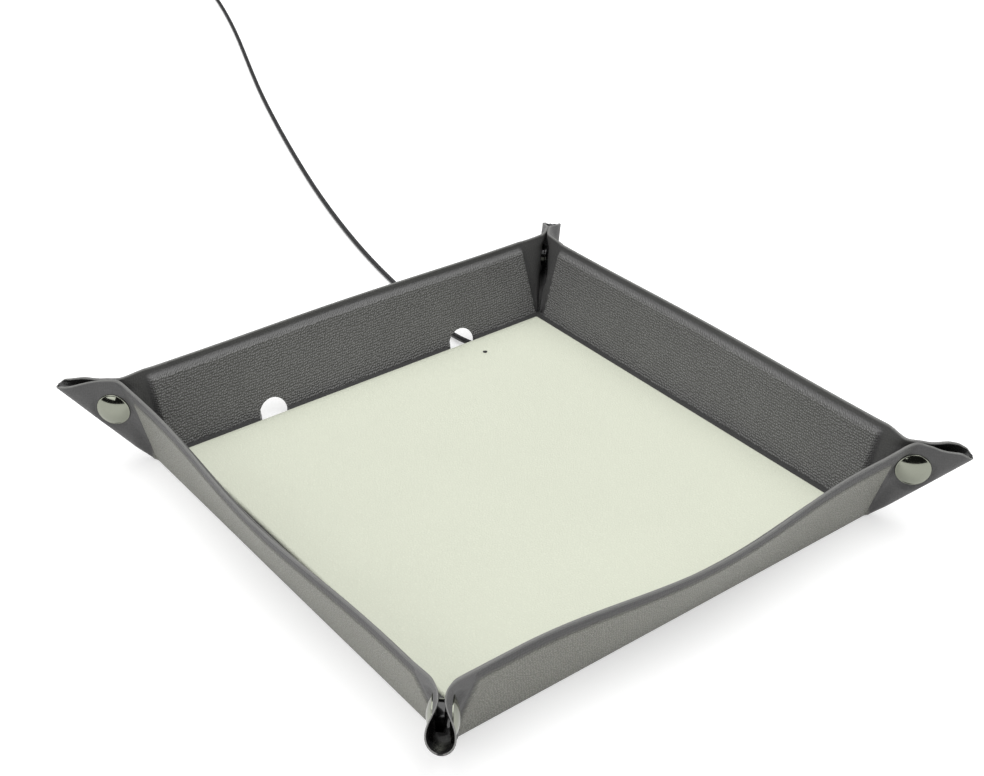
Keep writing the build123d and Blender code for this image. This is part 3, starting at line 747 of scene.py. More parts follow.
def wall_stretch(shell, name, settings, start, stop, arched=False):
    """Closed stretch of a wall. Its section is a loop: up the outer face, over the rounded rim,
    down the inner face and round under the foot, or round a cord notch's slanted arch. A start or
    stop is a pair, at the outer face and NOTCH_DEPTH in; without one it ends at the wall's seam."""
    high = in_mm(settings.slant) - RIM_ROUND
    length = (HALF_FOLD if stop is None else stop[0]) - (-HALF_FOLD if start is None else start[0])
    count = max(LEAST_COLUMNS, int(length / COLUMN_STEP))
    share = np.linspace(0.0, 1.0, count)[:, None]
    if arched:
        share = (1.0 - np.cos(math.pi * share)) / 2.0

    def end_at(end, side, up, depth):
        if end is None:
            return side * (HALF_FOLD - seam_at(settings, up))
        return end[0] + (end[1] - end[0]) * (depth / NOTCH_DEPTH)

    def along_at(up, depth):
        first = end_at(start, -1.0, up, depth)
        last = end_at(stop, 1.0, up, depth)
        return first + (last - first) * share + 0.0 * up

    def outer_depth(from_end):
        return flat - outer_rise(settings, from_end, outer_up)

    def inner_depth(from_end):
        return flat + leather_depth(settings, inner_up) + inner_rise(settings, name, from_end, inner_up)

    level_foot = np.zeros((count, 1))
    outer_foot = level_foot + FACE_START
    inner_foot = level_foot + FOOT_LIFT
    if arched:
        radius = in_mm(settings.notch_width) / 2.0
        arch = radius * np.sqrt(1.0 - (2.0 * share - 1.0) ** 2) - radius
        outer_foot = arch + in_mm(settings.notch_height)
        inner_foot = arch + in_mm(settings.notch_inside)
    step = np.linspace(0.0, 1.0, FACE_ROWS)[None, :]
    rim_lift, rim_across = (np.array([row]) for row in zip(*RIM_PROFILE[1:-1]))
    outer_up = outer_foot + (high - outer_foot) * step
    rim_up = high + RIM_ROUND * rim_lift + 0.0 * level_foot
    inner_up = high + (inner_foot - high) * step
    flat = in_mm(settings.flat_face)
    outer_flat, inner_flat = outer_depth(HALF_FOLD), inner_depth(HALF_FOLD)
    outer_along = along_at(outer_up, outer_flat)
    inner_along = along_at(inner_up, inner_flat)
    outer = outer_depth(HALF_FOLD - np.abs(outer_along))
    inner = inner_depth(panel_distance(settings, name, inner_along, inner_up))
    rim_flat = outer_flat[:, -1:] + (inner_flat[:, :1] - outer_flat[:, -1:]) * rim_across
    rim_depth = outer[:, -1:] + (inner[:, :1] - outer[:, -1:]) * rim_across
    ups = [outer_up, rim_up, inner_up]
    alongs = [outer_along, along_at(rim_up, rim_flat), inner_along]
    depths = [outer, rim_depth, inner]
    if not arched:
        foot_out, foot_height = (np.array([row]) + level_foot for row in zip(*FOOT_CURVE))
        _, foot_flat = from_fold(name, level_foot, foot_out, foot_height)
        foot_along = along_at(np.maximum(foot_height, 0.0), foot_flat)
        foot_up, foot_depth = from_fold(name, foot_along, foot_out, foot_height)
        ups.append(foot_up)
        alongs.append(foot_along)
        depths.append(foot_depth)
    up = np.concatenate(ups, axis=1)
    along = np.concatenate(alongs, axis=1)
    depth = np.concatenate(depths, axis=1)
    out = np.zeros(up.shape)
    out[:, :FACE_ROWS + len(RIM_PROFILE) - 2] = 1.0
    outer_pad = outer_share(settings, HALF_FOLD - np.abs(along), up)
    inner_pad = inner_share(settings, panel_distance(settings, name, along, up), up)
    pad = np.where(out > 0.5, outer_pad, inner_pad)
    # The rim's top, where the paler cut edge colour paints a highlight
    rim = smooth((up - high + RIM_ROUND) / RIM_ROUND)
    solid_of_loops(shell, wall_points(name, along, up, depth), rim, pad, out)


# Corner tails, in u outwards from the base's corner, t away from its middle plane, z up. A pair
# is where a smooth step starts, and its run
TAIL_RIM_PEAK = 37.7
TAIL_RIM_FALL = 4.6
TAIL_TIP_FALL = 1.0
TAIL_LENGTH = 37.4
RIM_RISES = (0.0, 14.0)
RIM_FALLS = (15.0, 21.0)
TIP_FALLS = (35.0, 2.4)
TIP_MEETS = (31.0, 6.4)
TIP_LIFT = 0.1

# Half widths: at the fold by the base's corner, its growth, and above the fold
FOLD_HALF = 1.8
FOLD_GROWS = 2.4
FOLD_GROWTH = (0.0, 7.0)
BODY_HALF = 2.5
BODY_STARTS = (4.0, 8.0)
PINCH_TOP = 37.5
PINCH_RUN = 7.0
FLARES = (19.0, 13.0)

# The leather pressed out round the snap, and its flat seat there
SNAP_PRESS = 0.6
PRESS_OUT = 11.0
PRESS_UP = 8.0
SEAT_ENDS = (6.6, 3.0)
SNAP_BACKING = 9.0

# The grid's crowding towards the fold, its level foot, the sag's ends, and the flow from wall to tail
ROW_POWER = 1.6
LEVEL_RUN = 2.2
SAG_RUNS = (9.0, 10.0)
PINCH_ROUND = 2.6
ROUND_RUN = 8.0
ROUND_HEIGHT = 6.0

# Where the leather thins beyond the seam and at the tip, and the round inside the fold
THIN_BEYOND = 12.0
TIP_THIN_SHARE = 0.55
TIP_START_SHARE = 0.9
TIP_RUN = 4.0
FILLET = 2.1
FILLET_ENDS = (5.0, 8.0)
# From the base's corner out to where the painted shade inside a tail starts, and its run
TAIL_SHADE_STARTS = (10.0, 6.0)

# Each corner's half width at its pinched rim and at its widest, share of the reach, and how far
# its tip swings aside with the power of that swing
CORNER_FORMS = {
    "back_right": (0.9, 4.0, 0.945, 0.0, 1.0),
    "back_left": (0.8, 4.4, 0.955, -2.5, 0.4),
    "front_left": (0.9, 3.9, 1.0, 0.0, 1.0),
    "front_right": (1.1, 4.8, 0.975, 3.7, 1.5),
}

# Where a tail's leather starts to thin sooner than the others', as a share of its reach
THIN_SHARES = {"front_right": 0.3}

# Half tails whose rim sags between the pinch and the flare: from, to, and how far, in millimetres
RIM_SAGS = {
    ("back_right", "back"): (3.0, 27.0, 2.6),
    ("back_right", "right"): (9.0, 31.0, 2.4),
    ("front_left", "left"): (3.0, 27.0, 1.2),
    ("front_left", "front"): (8.0, 29.0, 1.0),
}


def corner_wall(corner, side):
    """The wall on one side of a corner."""
    turn = (CORNER_TURNS[corner] + 45.0 * side) % 360.0
    return next(name for name, at in WALL_TURNS.items() if at == turn)


def tail_rim(out, wall_rim, tip_height):
    """Height of the rim over a tail: up from the wall's rim to a peak over the pinch, then down to
    its tip. Distances out are those of a tail of full reach."""
    up = wall_rim + (TAIL_RIM_PEAK - wall_rim) * eased(out, *RIM_RISES)
    tip = TAIL_RIM_PEAK - TAIL_RIM_FALL - TAIL_TIP_FALL
    down = TAIL_RIM_FALL * eased(out, *RIM_FALLS) + TAIL_TIP_FALL * eased(out, *TIP_FALLS)
    return up - down - (tip - tip_height) * eased(out, *TIP_MEETS)


def tail_half_width(corner, settings, out, height, above):
    """Half width over the leather: round at the fold, pinched at the rim, wider at the snap, and
    flared towards the tip."""
    pinched, widest = CORNER_FORMS[corner][:2]
    snap_out = (out - in_mm(settings.snap_out)) / PRESS_OUT
    snap_up = (height - in_mm(settings.snap_up)) / PRESS_UP
    pressed = SNAP_PRESS * np.exp(-(snap_out**2) - snap_up**2)
    folded = FOLD_HALF + FOLD_GROWS * eased(out, *FOLD_GROWTH)
    half = BODY_HALF + (folded - BODY_HALF) * (1.0 - eased(above, *BODY_STARTS))
    half = pinched + (half - pinched) * smooth((PINCH_TOP - height) / PINCH_RUN)
    flared = (widest - half) * eased(out, *FLARES)
    return half + pressed + flared


def flap_grids(corner, side, walls, settings, rows=84, columns=90):
    """Outer and inner points of half a tail, with their padding. The outer face is the smooth
    maximum of the wall's own line, t = sqrt(2) y - u, and a pinched tail that closes on its fold
    in a round U; the wall's panels run on over it. The inner face follows along its normals."""
    wall = corner_wall(corner, side)
    lean = math.radians(WALL_LEANS[wall][0 if side > 0 else 2])
    flat = in_mm(walls.flat_face)
    share = np.linspace(0.0, 1.0, rows)[:, None] ** ROW_POWER
    up = share * (in_mm(walls.slant) - RIM_ROUND)
    seam_out = (up * math.cos(lean) - flat * math.sin(lean) - seam_at(walls, up)) / math.sqrt(2.0)
    foot_height = flat * math.cos(lean)
    wall_height = up * math.sin(lean) + foot_height
    shorter = CORNER_FORMS[corner][2]
    reach = in_mm(settings.reach) * shorter
    out = seam_out + (reach - seam_out) * np.linspace(0.0, 1.0, columns)[None, :]
    fold = math.tan(settings.rise) * np.maximum(out, 0.0)
    wall_rim = wall_height[-1, 0]
    level_share = foot_height * (1.0 - share) * (1.0 - eased(out, seam_out, LEVEL_RUN))
    rim = tail_rim(out / shorter, wall_rim, math.tan(settings.rise) * reach + TIP_LIFT)
    sag_from, sag_to, sag = RIM_SAGS.get((corner, wall), (0.0, 1.0, 0.0))
    rim = rim - sag * eased(out, sag_from, SAG_RUNS[0]) * smooth((sag_to - out) / SAG_RUNS[1])
    height = fold + (rim - fold) * (wall_height - foot_height) / (wall_rim - foot_height)
    height = height + level_share
    wall_line = math.sqrt(2.0) * ((height - foot_height) / math.tan(lean) - flat * math.sin(lean)) - out
    above = np.maximum(height - fold - level_share, 0.0) * math.cos(settings.rise)
    half = tail_half_width(corner, settings, out, height, above)
    tail = half * np.sqrt(1.0 - (1.0 - np.minimum(above / half, 1.0)) ** 2)
    rounding = PINCH_ROUND * eased(out, seam_out, ROUND_RUN) * np.minimum(above / ROUND_HEIGHT, 1.0)
    across = (wall_line + tail + np.sqrt((wall_line - tail) ** 2 + rounding**2)) / 2.0
    from_snap = np.hypot(out - in_mm(settings.snap_out), height - in_mm(settings.snap_up))
    seat = 1.0 - eased(from_snap, *SEAT_ENDS)
    across = across + (in_mm(settings.snap_face) - across) * seat
    middle = np.stack([out, across, height], axis=-1)
    normal = np.cross(np.gradient(middle, axis=1), np.gradient(middle, axis=0))
    normal /= np.linalg.norm(normal, axis=-1, keepdims=True)
    normal *= -1.0 if normal[rows // 2, columns // 2, 1] < 0.0 else 1.0
    from_end = (across - out) / math.sqrt(2.0)
    slanted = (height - foot_height) / math.sin(lean)
    beyond = eased(out, seam_out, THIN_BEYOND)
    thin = in_mm(settings.thickness)
    near_snap = np.exp(-((from_snap / SNAP_BACKING) ** 2)) * (in_mm(walls.thickness) - thin)
    depth = leather_depth(walls, slanted)
    tip = 1.0 - TIP_THIN_SHARE * eased(out, reach * THIN_SHARES.get(corner, TIP_START_SHARE), TIP_RUN)
    depth = depth + (np.minimum(depth, thin) * tip + near_snap - depth) * beyond
    inside_end = from_end - end_shift(walls, wall, corner, slanted)
    depth = depth + inner_rise(walls, wall, inside_end, slanted)
    outer = middle + normal * outer_rise(walls, from_end, slanted)[..., None]
    inner = middle - normal * depth[..., None]
    inner[..., 1] = np.maximum(inner[..., 1], 0.0)
    inner[0, :, 1] = np.minimum(inner[0, :, 1], middle[0, :, 1])
    inner[..., 0] -= np.maximum(FILLET - inner[..., 1], 0.0) * (1.0 - eased(out, *FILLET_ENDS))
    return outer, inner, outer_share(walls, from_end, slanted), inner_share(walls, inside_end, slanted)


def corner_points(corner, side, local):
    """Points in the row frame from a corner's own u, t and z."""
    along = level(CORNER_TURNS[corner])
    across = level(CORNER_TURNS[corner] + 90.0, side)
    start = level(CORNER_TURNS[corner], HALF_FOLD * math.sqrt(2.0))
    rise = np.array([0.0, 0.0, 1.0])
    aside, power = CORNER_FORMS[corner][3:]
    shares = np.clip(local[..., :1] / TAIL_LENGTH, 0.0, 1.0)
    swing = aside * shares**power * level(CORNER_TURNS[corner] + 90.0)
    return start + swing + local[..., :1] * along + local[..., 1:2] * across + local[..., 2:] * rise


BEND_WIDTH = 9.0


def corner_bend(wall, side, walls):
    """From the seam straight across it in the wall's plane, over the width in which the leather turns."""
    lean = math.radians(WALL_LEANS[wall][0 if side > 0 else 2])
    slant = level(WALL_TURNS[wall], math.cos(lean)) + np.array([0.0, 0.0, math.sin(lean)])
    beside = level(WALL_TURNS[wall] + 90.0, -side)
    across = beside * in_mm(walls.slant) + slant * (SEAM_RIM - SEAM_FOOT)
    return across * (BEND_WIDTH / np.linalg.norm(across))


def flap_shell(corner, side, walls, settings):
    """Closed half tail: each column is a loop up the outer face, over the rim and down inside."""
    outer, inner, outer_pad, inner_pad = flap_grids(corner, side, walls, settings)
    rim_up = outer[-1] - outer[-2]
    rim_up /= np.linalg.norm(rim_up, axis=-1, keepdims=True)
    edge = [
        outer[-1] + (inner[-1] - outer[-1]) * inwards + rim_up * lift * RIM_ROUND
        for lift, inwards in RIM_PROFILE[1:-1]
    ]
    loops = np.concatenate([outer, np.stack(edge), inner[::-1]])
    flat = np.zeros((len(edge), outer.shape[1]))
    pad = np.concatenate([outer_pad, flat, inner_pad[::-1]])
    # The rim's edge rows, where the paler cut edge colour paints a highlight
    rim = np.zeros(pad.shape)
    rim[len(outer) - 1:len(outer) + len(edge) + 1] = 1.0
    out = np.zeros(pad.shape)
    out[:len(outer) + len(edge)] = 1.0
    # Painted shade inside the tail, on its inner face, growing outwards from the base's corner
    painted_tail_shade = eased(loops[..., 0], *TAIL_SHADE_STARTS) * (1.0 - out)
    shell = Shell()
    points = corner_points(corner, side, np.swapaxes(loops, 0, 1))
    solid_of_loops(shell, points, rim.T, pad.T, out.T, painted_tail_shade.T)
    return shell


# Snap caps
CAP_RADIUS = 6.9
CAP_RIM = 0.35
CAP_DOME = 1.95
CAP_ROUND = 0.28
CAP_SUNK = 0.45
CAP_MIDDLE = 3.0
CAP_EASE = 0.8
CAP_LIP_SHARE = 0.4
CAP_RIM_POINTS = 7
CAP_CROWN_POINTS = 22
CAP_COLUMNS = 97


def cap_shell(corner, side, settings):
    """Domed cap turned about its snap: flat under, a rounded rim and a crown of one arc."""
    globe = (CAP_RADIUS**2 + CAP_DOME**2) / (2.0 * CAP_DOME)
    crown = CAP_RADIUS - CAP_ROUND
    turn = np.linspace(0.0, math.pi / 2.0, CAP_RIM_POINTS)
    radii = [np.array([0.0, CAP_MIDDLE, CAP_RADIUS]), crown + CAP_ROUND * np.cos(turn)]
    lifts = [np.full(3, -CAP_SUNK), CAP_RIM - CAP_ROUND * CAP_LIP_SHARE + CAP_ROUND * np.sin(turn)]
    inwards = np.linspace(crown, 0.0, CAP_CROWN_POINTS)[1:]
    arc = np.sqrt(globe**2 - inwards**2) - globe + CAP_DOME + CAP_RIM
    ease = smooth((crown - inwards) / CAP_EASE)
    radii.append(inwards)
    lifts.append(arc * ease + (1.0 - ease) * np.maximum(arc, lifts[1][-1]))
    radius = np.concatenate(radii)[None, :]
    lift = np.concatenate(lifts)[None, :]
    round_about = np.linspace(0.0, 2.0 * math.pi, CAP_COLUMNS)[:, None]
    out = in_mm(settings.snap_out) + radius * np.cos(round_about)
    across = in_mm(settings.snap_face) + lift + 0.0 * round_about
    height = in_mm(settings.snap_up) + radius * np.sin(round_about)
    shell = Shell()
    shell.add(corner_points(corner, side, np.stack([out, across, height], axis=-1)))
    return shell


# Pale floor
LAMP = (-81.5, 53.5)
LAMP_RADIUS = 1.05
FLOOR_CORNER = 1.5
FLOOR_EDGE = 1.3
FLOOR_UNDER = 4.55
FLOOR_RAYS = 721
PILLOW = 0.25
PILLOW_RUN = 12.0
HOLE_DIP = 0.35
HOLE_DIP_RUN = 0.5
HUB_SHARE = 0.9
HUB_STEPS = 14
EDGE_SHARE = 0.27
EDGE_STEPS = 34
EDGE_POWER = 2.6


def floor_shell(settings):
    """Pale panel as rays from the lamp's hole out to a rounded square. Its edge is a quarter
    round by the true distance to the side, and the leather dips a little at the hole."""
    half = in_mm(settings.panel_side) / 2.0
    top = in_mm(settings.panel_top)
    corners = [math.atan2(y - LAMP[1], x - LAMP[0]) for x in (-half, half) for y in (-half, half)]
    turns = np.unique(np.concatenate([np.linspace(-math.pi, math.pi, FLOOR_RAYS)[:-1], corners]))
    turns = np.append(turns, turns[0] + 2.0 * math.pi)
    step_x, step_y = np.cos(turns), np.sin(turns)
    with np.errstate(divide="ignore"):
        to_x = np.where(step_x > 0, half - LAMP[0], half + LAMP[0]) / np.abs(step_x)
        to_y = np.where(step_y > 0, half - LAMP[1], half + LAMP[1]) / np.abs(step_y)
    far = np.minimum(to_x, to_y)[:, None]
    hub = np.linspace(0.0, HUB_SHARE, HUB_STEPS) ** 2 * HUB_SHARE
    into = np.concatenate([hub, 1.0 - np.linspace(EDGE_SHARE, 0.0, EDGE_STEPS) ** EDGE_POWER])
    ray = LAMP_RADIUS + (far - LAMP_RADIUS) * into[None, :]
    x = LAMP[0] + ray * step_x[:, None]
    y = LAMP[1] + ray * step_y[:, None]
    inwards_x = half - FLOOR_CORNER - np.abs(x)
    inwards_y = half - FLOOR_CORNER - np.abs(y)
    beyond = np.hypot(np.minimum(inwards_x, 0.0), np.minimum(inwards_y, 0.0))
    edge = FLOOR_CORNER - beyond + np.maximum(np.minimum(inwards_x, inwards_y), 0.0)
    edge = np.maximum(edge, 0.0)
    inside = np.minimum(edge / FLOOR_EDGE, 1.0)
    rounding = FLOOR_EDGE * (1.0 - np.sqrt(1.0 - (1.0 - inside) ** 2))
    dip = HOLE_DIP * np.exp(-(((ray - LAMP_RADIUS) / HOLE_DIP_RUN) ** 2))
    swell = PILLOW * smooth(edge / PILLOW_RUN) - PILLOW
    z = top - rounding - dip + swell
    surface = np.stack([x, y, z], axis=-1)
    under = surface[:, [0, -1]]
    under[..., 2] = FLOOR_UNDER
    shell = Shell()
    shell.add(np.concatenate([under[:, :1], surface, under[:, 1:], under[:, :1]], axis=1))
    return shell


# Sheets under and round the pale floor, cut by the cord notches: each notch's reach along y
SKIN_CUTS = ((-53.4, -38.3), (46.5, 62.0))
BORDER_CUTS = ((-56.7, -41.9), (43.2, 58.4))
CUT_START = -94.3
BORDER_GAP = 0.15
# Share of the plain leather's colour kept on the border strip round the pale floor: painted shade in the
# crease at the walls' feet
BORDER_PAINTED_SHADE = 0.4
SHEET_CORNER = 1.5
SHEET_CORNER_POINTS = 7


def sheet_shell(outlines, low, high):
    """Flat sheets between two heights: each outline, anticlockwise, becomes two faces and a rim."""
    shell = Shell()
    for outline in outlines:
        ring = np.array(outline + outline[:1])
        under = np.column_stack([ring, np.full(len(ring), low)])
        over = np.column_stack([ring, np.full(len(ring), high)])
        index = shell.add(np.stack([under, over], axis=1))
        shell.close(index[:-1, 1])
        shell.close(index[:-1, 0][::-1])
    return shell


def rounded_corners(half):
    """Corners of a rounded square from its upper left, clockwise seen from above, in a list."""
    points = []
    for turn in (90.0, 0.0, 270.0, 180.0):
        middle = level(turn + 45.0, (half - SHEET_CORNER) * math.sqrt(2.0))
        for step in np.linspace(90.0, 0.0, SHEET_CORNER_POINTS):
            points.append(tuple((middle + level(turn + step, SHEET_CORNER))[:2]))
    return points


def skin_outline(settings):
    """The sheet under the base, with both notches cut in from its left edge."""
    half = in_mm(settings.skin_side) / 2.0
    points = rounded_corners(half)
    for low, high in SKIN_CUTS:
        points += [(-half, low), (CUT_START, low), (CUT_START, high), (-half, high)]
    return points[::-1]


def border_outlines(settings):
    """The strip round the pale floor: a C round three sides, and the bar between the notches."""
    half = in_mm(settings.border_side) / 2.0
    inner = in_mm(settings.panel_side) / 2.0 + BORDER_GAP
    lower, upper = BORDER_CUTS
    hole = [(-inner, -inner), (inner, -inner), (inner, inner), (-inner, inner)]
    around = [(-inner, lower[0])] + hole + [(-inner, upper[1])]
    strip = [(-half, upper[1])] + rounded_corners(half) + [(-half, lower[0])] + around
    bar = [(-half, lower[1]), (-half, upper[0]), (-inner, upper[0]), (-inner, lower[1])]
    return [strip[::-1], bar[::-1]]


# Lead
TURN_POINTS = 12
COIL_TURNS_IN = 6
COIL_TURNS_CLIMB = 7
COIL_TURNS_OUT = 14
LAYER_LOW = 0.0018
LAYER_RISE = 0.00305
ENTRY_RUN = 0.0026
TAIL_RUN = 0.012


def coil_frame(settings):
    """Middle of the put-away coil, the lead's heading there, and the direction to its left."""
    heading = Vector((*LEAD_HEADING, 0.0)).normalized()
    to_left = Vector((-heading.y, heading.x, 0.0))
    entry = Vector(LEAD_ROUTE[-1]) + heading * ENTRY_RUN
    return entry - to_left * settings.coil_radius, heading, to_left


def coil_radius_at(settings, half_turns):
    """Radius after so many half turns: in on the lower layer, level while it climbs, then out."""
    pitch = settings.coil_pitch / 2.0
    inner = settings.coil_radius - pitch * COIL_TURNS_IN
    inwards = settings.coil_radius - pitch * half_turns
    return max(inwards, inner) + pitch * max(half_turns - COIL_TURNS_CLIMB, 0.0)


def lead_points(settings):
    """The route, then the coil's points every 15 degrees, then the straight run to the plug."""
    middle, heading, to_left = coil_frame(settings)
    points = [Vector(LEAD_EXIT)] + [Vector(point) for point in LEAD_ROUTE]
    for step in range(COIL_TURNS_OUT * TURN_POINTS + 1):
        half_turns = step / TURN_POINTS
        turn = half_turns * math.pi
        radius = coil_radius_at(settings, half_turns)
        climb = min(max(half_turns - COIL_TURNS_IN, 0.0), 1.0)
        spot = middle + to_left * (radius * math.cos(turn)) + heading * (radius * math.sin(turn))
        spot.z = LAYER_LOW + LAYER_RISE * climb * climb * (3.0 - 2.0 * climb)
        points.append(spot)
    for share in (0.25, 0.5, 0.75, 1.0):
        points.append(spot + heading * (TAIL_RUN * share))
    return points


def length_of(points):
    """Length of a line through points."""
    return sum((b - a).length for a, b in zip(points, points[1:]))


# Stage
LOOK_AT = Vector((-0.0617, 0.0422, 0.0))
AZIMUTH = math.radians(52.15)
ELEVATION = math.radians(31.74)
ROLL = math.radians(0.34)
DISTANCE = 0.6775
SENSOR = 36.0
NEAREST = 0.01

# Lights, in metres, and the pale floor around the tray
LIGHTS_AIM = Vector((0.0, 0.0, 0.02))
OVERHEAD_AT = (-0.15, 0.25, 1.5)
OVERHEAD_SIDE = 2.2
FILL_AT = (0.25, -1.3, 0.75)
FILL_WIDTH = 1.2
FILL_HEIGHT = 0.8
SKY_RISE = (0.45, 0.75)
SKY_DARK = 0.03
SKY_BRIGHT = 1.3
STAGE_REACH = 6000.0
GLOW = 0.5


def area_light(name, place, width, depth, power):
    """Rectangular soft light, aimed at the tray."""
    light = bpy.data.lights.new(name, "AREA")
    light.shape = "RECTANGLE"
    light.size = width
    light.size_y = depth
    light.energy = power
    thing = bpy.data.objects.new(name, light)
    bpy.context.scene.collection.objects.link(thing)
    thing.location = place
    thing.rotation_euler = (LIGHTS_AIM - Vector(place)).to_track_quat("-Z", "Y").to_euler()


def grey_world(dark, bright):
    """World that is dark near the horizon and bright overhead, for calm reflections."""
    world = Finish("studio", "worlds")
    place = world.node("ShaderNodeTexCoord", output="Generated")
    strength = world.between(world.axis(place, "Z"), *SKY_RISE, dark, bright)
    sky = world.node("ShaderNodeBackground", None, {"Strength": strength})
    bpy.context.scene.world = world.join(sky, "ShaderNodeOutputWorld")


def stage_floor():
    """Large pale floor that is bright around the tray."""
    shell = Shell()
    reach = np.linspace(-STAGE_REACH, STAGE_REACH, 3)
    x, y = np.meshgrid(reach, reach, indexing="ij")
    shell.add(np.stack([x, y, 0.0 * x], axis=-1))
    floor = shell.finish("stage_floor", recalculate=False)
    finish = Finish("stage paper")
    body = finish.mix(finish.noise(*PAPER_NOISE), *PAPER_COLOURS)
    white = {"Emission_Color": (1.0, 1.0, 1.0, 1.0), "Emission_Strength": GLOW}
    wear(floor, finish.shade(Base_Color=body, Roughness=0.9, Specular_IOR_Level=0.1, **white))


# Operators
def tray_settings(context):
    """The add-on's five groups of settings, kept on the scene."""
    scene = context.scene
    return scene.tray_walls, scene.tray_corners, scene.tray_floor, scene.tray_finish, scene.tray_lead


class TrayOperator:
    """Shared by the operators: they run in the frame's scene and raise on a failure."""

    bl_options = {"REGISTER", "UNDO"}


class OBJECT_OT_tray_walls(TrayOperator, bpy.types.Operator):
    """Four padded walls."""

    bl_idname = "object.tray_walls"
    bl_label = "Walls"

    def execute(self, context):
        walls, _, _, finishes, _ = tray_settings(context)
        material = leather("tray leather", finishes)
        radius = in_mm(walls.notch_width) / 2.0
        for name in WALL_TURNS:
            shell = Shell()
            if name == "left":
                start = None
                for notch in NOTCHES:
                    ends = [tuple(at + side * radius for at in notch) for side in (-1, 1)]
                    wall_stretch(shell, name, walls, start, tuple(at - HAIR for at in ends[0]))
                    wall_stretch(shell, name, walls, *ends, arched=True)
                    start = tuple(at + HAIR for at in ends[1])
                wall_stretch(shell, name, walls, start, None)
            else:
                wall_stretch(shell, name, walls, None, None)
            piece = shell.finish(f"{name}_wall")
            start = level(WALL_TURNS[name], HALF_FOLD - BEND_INSIDE)
            end = level(WALL_TURNS[name], HALF_FOLD + BEND_OUTSIDE) + np.array([0.0, 0.0, BEND_UP])
            tuple(start * MM)
            tuple(end * MM)
            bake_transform(piece)
            nodes = [f"{name}_wall_{layer}" for layer in ("outer_skin", "board", "inner_skin")]
            dress_piece(piece, material, "outer_leather", *nodes)
        return {"FINISHED"}


class OBJECT_OT_tray_corners(TrayOperator, bpy.types.Operator):
    """Eight half tails, two pinched together at each corner, and their polished snap caps."""

    bl_idname = "object.tray_corners"
    bl_label = "Corners and snaps"

    def execute(self, context):
        walls, corners, _, finishes, _ = tray_settings(context)
        runs = {run: leather(f"{run} corner leather", finishes, run) for run in ("upright", "turned")}
        metal = polished_metal("cap nickel", finishes.snap)
        for corner in CORNER_TURNS:
            for side in (1, -1):
                wall = corner_wall(corner, side)
                body = f"{corner}_{wall}_flap"
                piece = flap_shell(corner, side, walls, corners).finish(f"{corner}_{wall}_tail")
                material = runs["upright" if corner in ("back_right", "front_left") else "turned"]
                beside = level(WALL_TURNS[wall] + 90.0, -side)
                start = level(WALL_TURNS[wall], HALF_FOLD) + beside * (HALF_FOLD - SEAM_FOOT)
                end = start + corner_bend(wall, side, walls)
                tuple(start * MM)
                tuple(end * MM)
                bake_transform(piece)
                dress_piece(piece, material, "corner_leather", f"{corner}_corner_{wall}_flap")
                cap = cap_shell(corner, side, corners).finish(f"{corner}_{wall}_cap", sharp=60.0)
                dress_piece(cap, metal, "dark_nickel", f"{corner}_snap_cap_{wall}", body=body)
        return {"FINISHED"}


class OBJECT_OT_tray_floor(TrayOperator, bpy.types.Operator):
    """Pale floor panel with its lamp hole, and finishes for the base and the charger under it."""

    bl_idname = "object.tray_floor"
    bl_label = "Floor"

    def execute(self, context):
        _, _, floor, finishes, _ = tray_settings(context)
        piece = floor_shell(floor).finish("pale_floor", sharp=50.0)
        pale = pale_leather("floor leather", finishes.floor)
        dress_piece(piece, pale, "pale_leather", "floor_insert", body="base")
        skin = in_mm(floor.skin)
        under = sheet_shell([skin_outline(floor)], 0.0, skin).finish("base_skin", recalculate=False)
        dark = leather("base leather", finishes, "level")
        dress_piece(under, dark, "outer_leather", "base_outer_skin", body="base")
        border = sheet_shell(border_outlines(floor), skin, in_mm(floor.border_top))
        border = border.finish("floor_border", recalculate=False)
        # Border strip with painted shade: the plain leather dimmed where it lies in the crease under the
        # walls' feet
        border_with_painted_shade = leather("border leather with painted shade", finishes, "level", BORDER_PAINTED_SHADE)
        dress_piece(border, border_with_painted_shade, "inner_leather", "floor_border_skin", body="base")
        dress_nodes(grey_board("base board"), "base_board")
        dress_nodes(moulded("charger case", (0.03, 0.03, 0.032)), "charger_tray", "charger_lid")
        dress_nodes(moulded("ferrite", (0.035, 0.034, 0.036), 0.6, 900.0), "ferrite_sheet")
        dress_nodes(wound_copper("coil copper"), "charging_coil")
        dress_nodes(polished_metal("wire copper", (0.72, 0.33, 0.15), 0.25), "coil_wires")
        dress_nodes(moulded("green board", (0.012, 0.10, 0.045), 0.4, 700.0), "circuit_board")
        dress_nodes(moulded("board parts", (0.02, 0.02, 0.02), 0.35, 900.0), "board_parts")
        dress_nodes(polished_metal("screw steel", (0.60, 0.60, 0.58), 0.25), "board_screws")
        dress_nodes(moulded("lamp white", (0.80, 0.80, 0.74), 0.3, 900.0), "status_light")
        dress_nodes(moulded("smoked light guide", (0.012, 0.012, 0.013), 0.3, 600.0), "light_guide")
        snaps = [f"{corner}_snap_{part}" for corner in CORNER_TURNS for part in ("socket", "stud")]
        dress_nodes(polished_metal("socket nickel", (0.05, 0.05, 0.05), 0.08), *snaps)
        return {"FINISHED"}


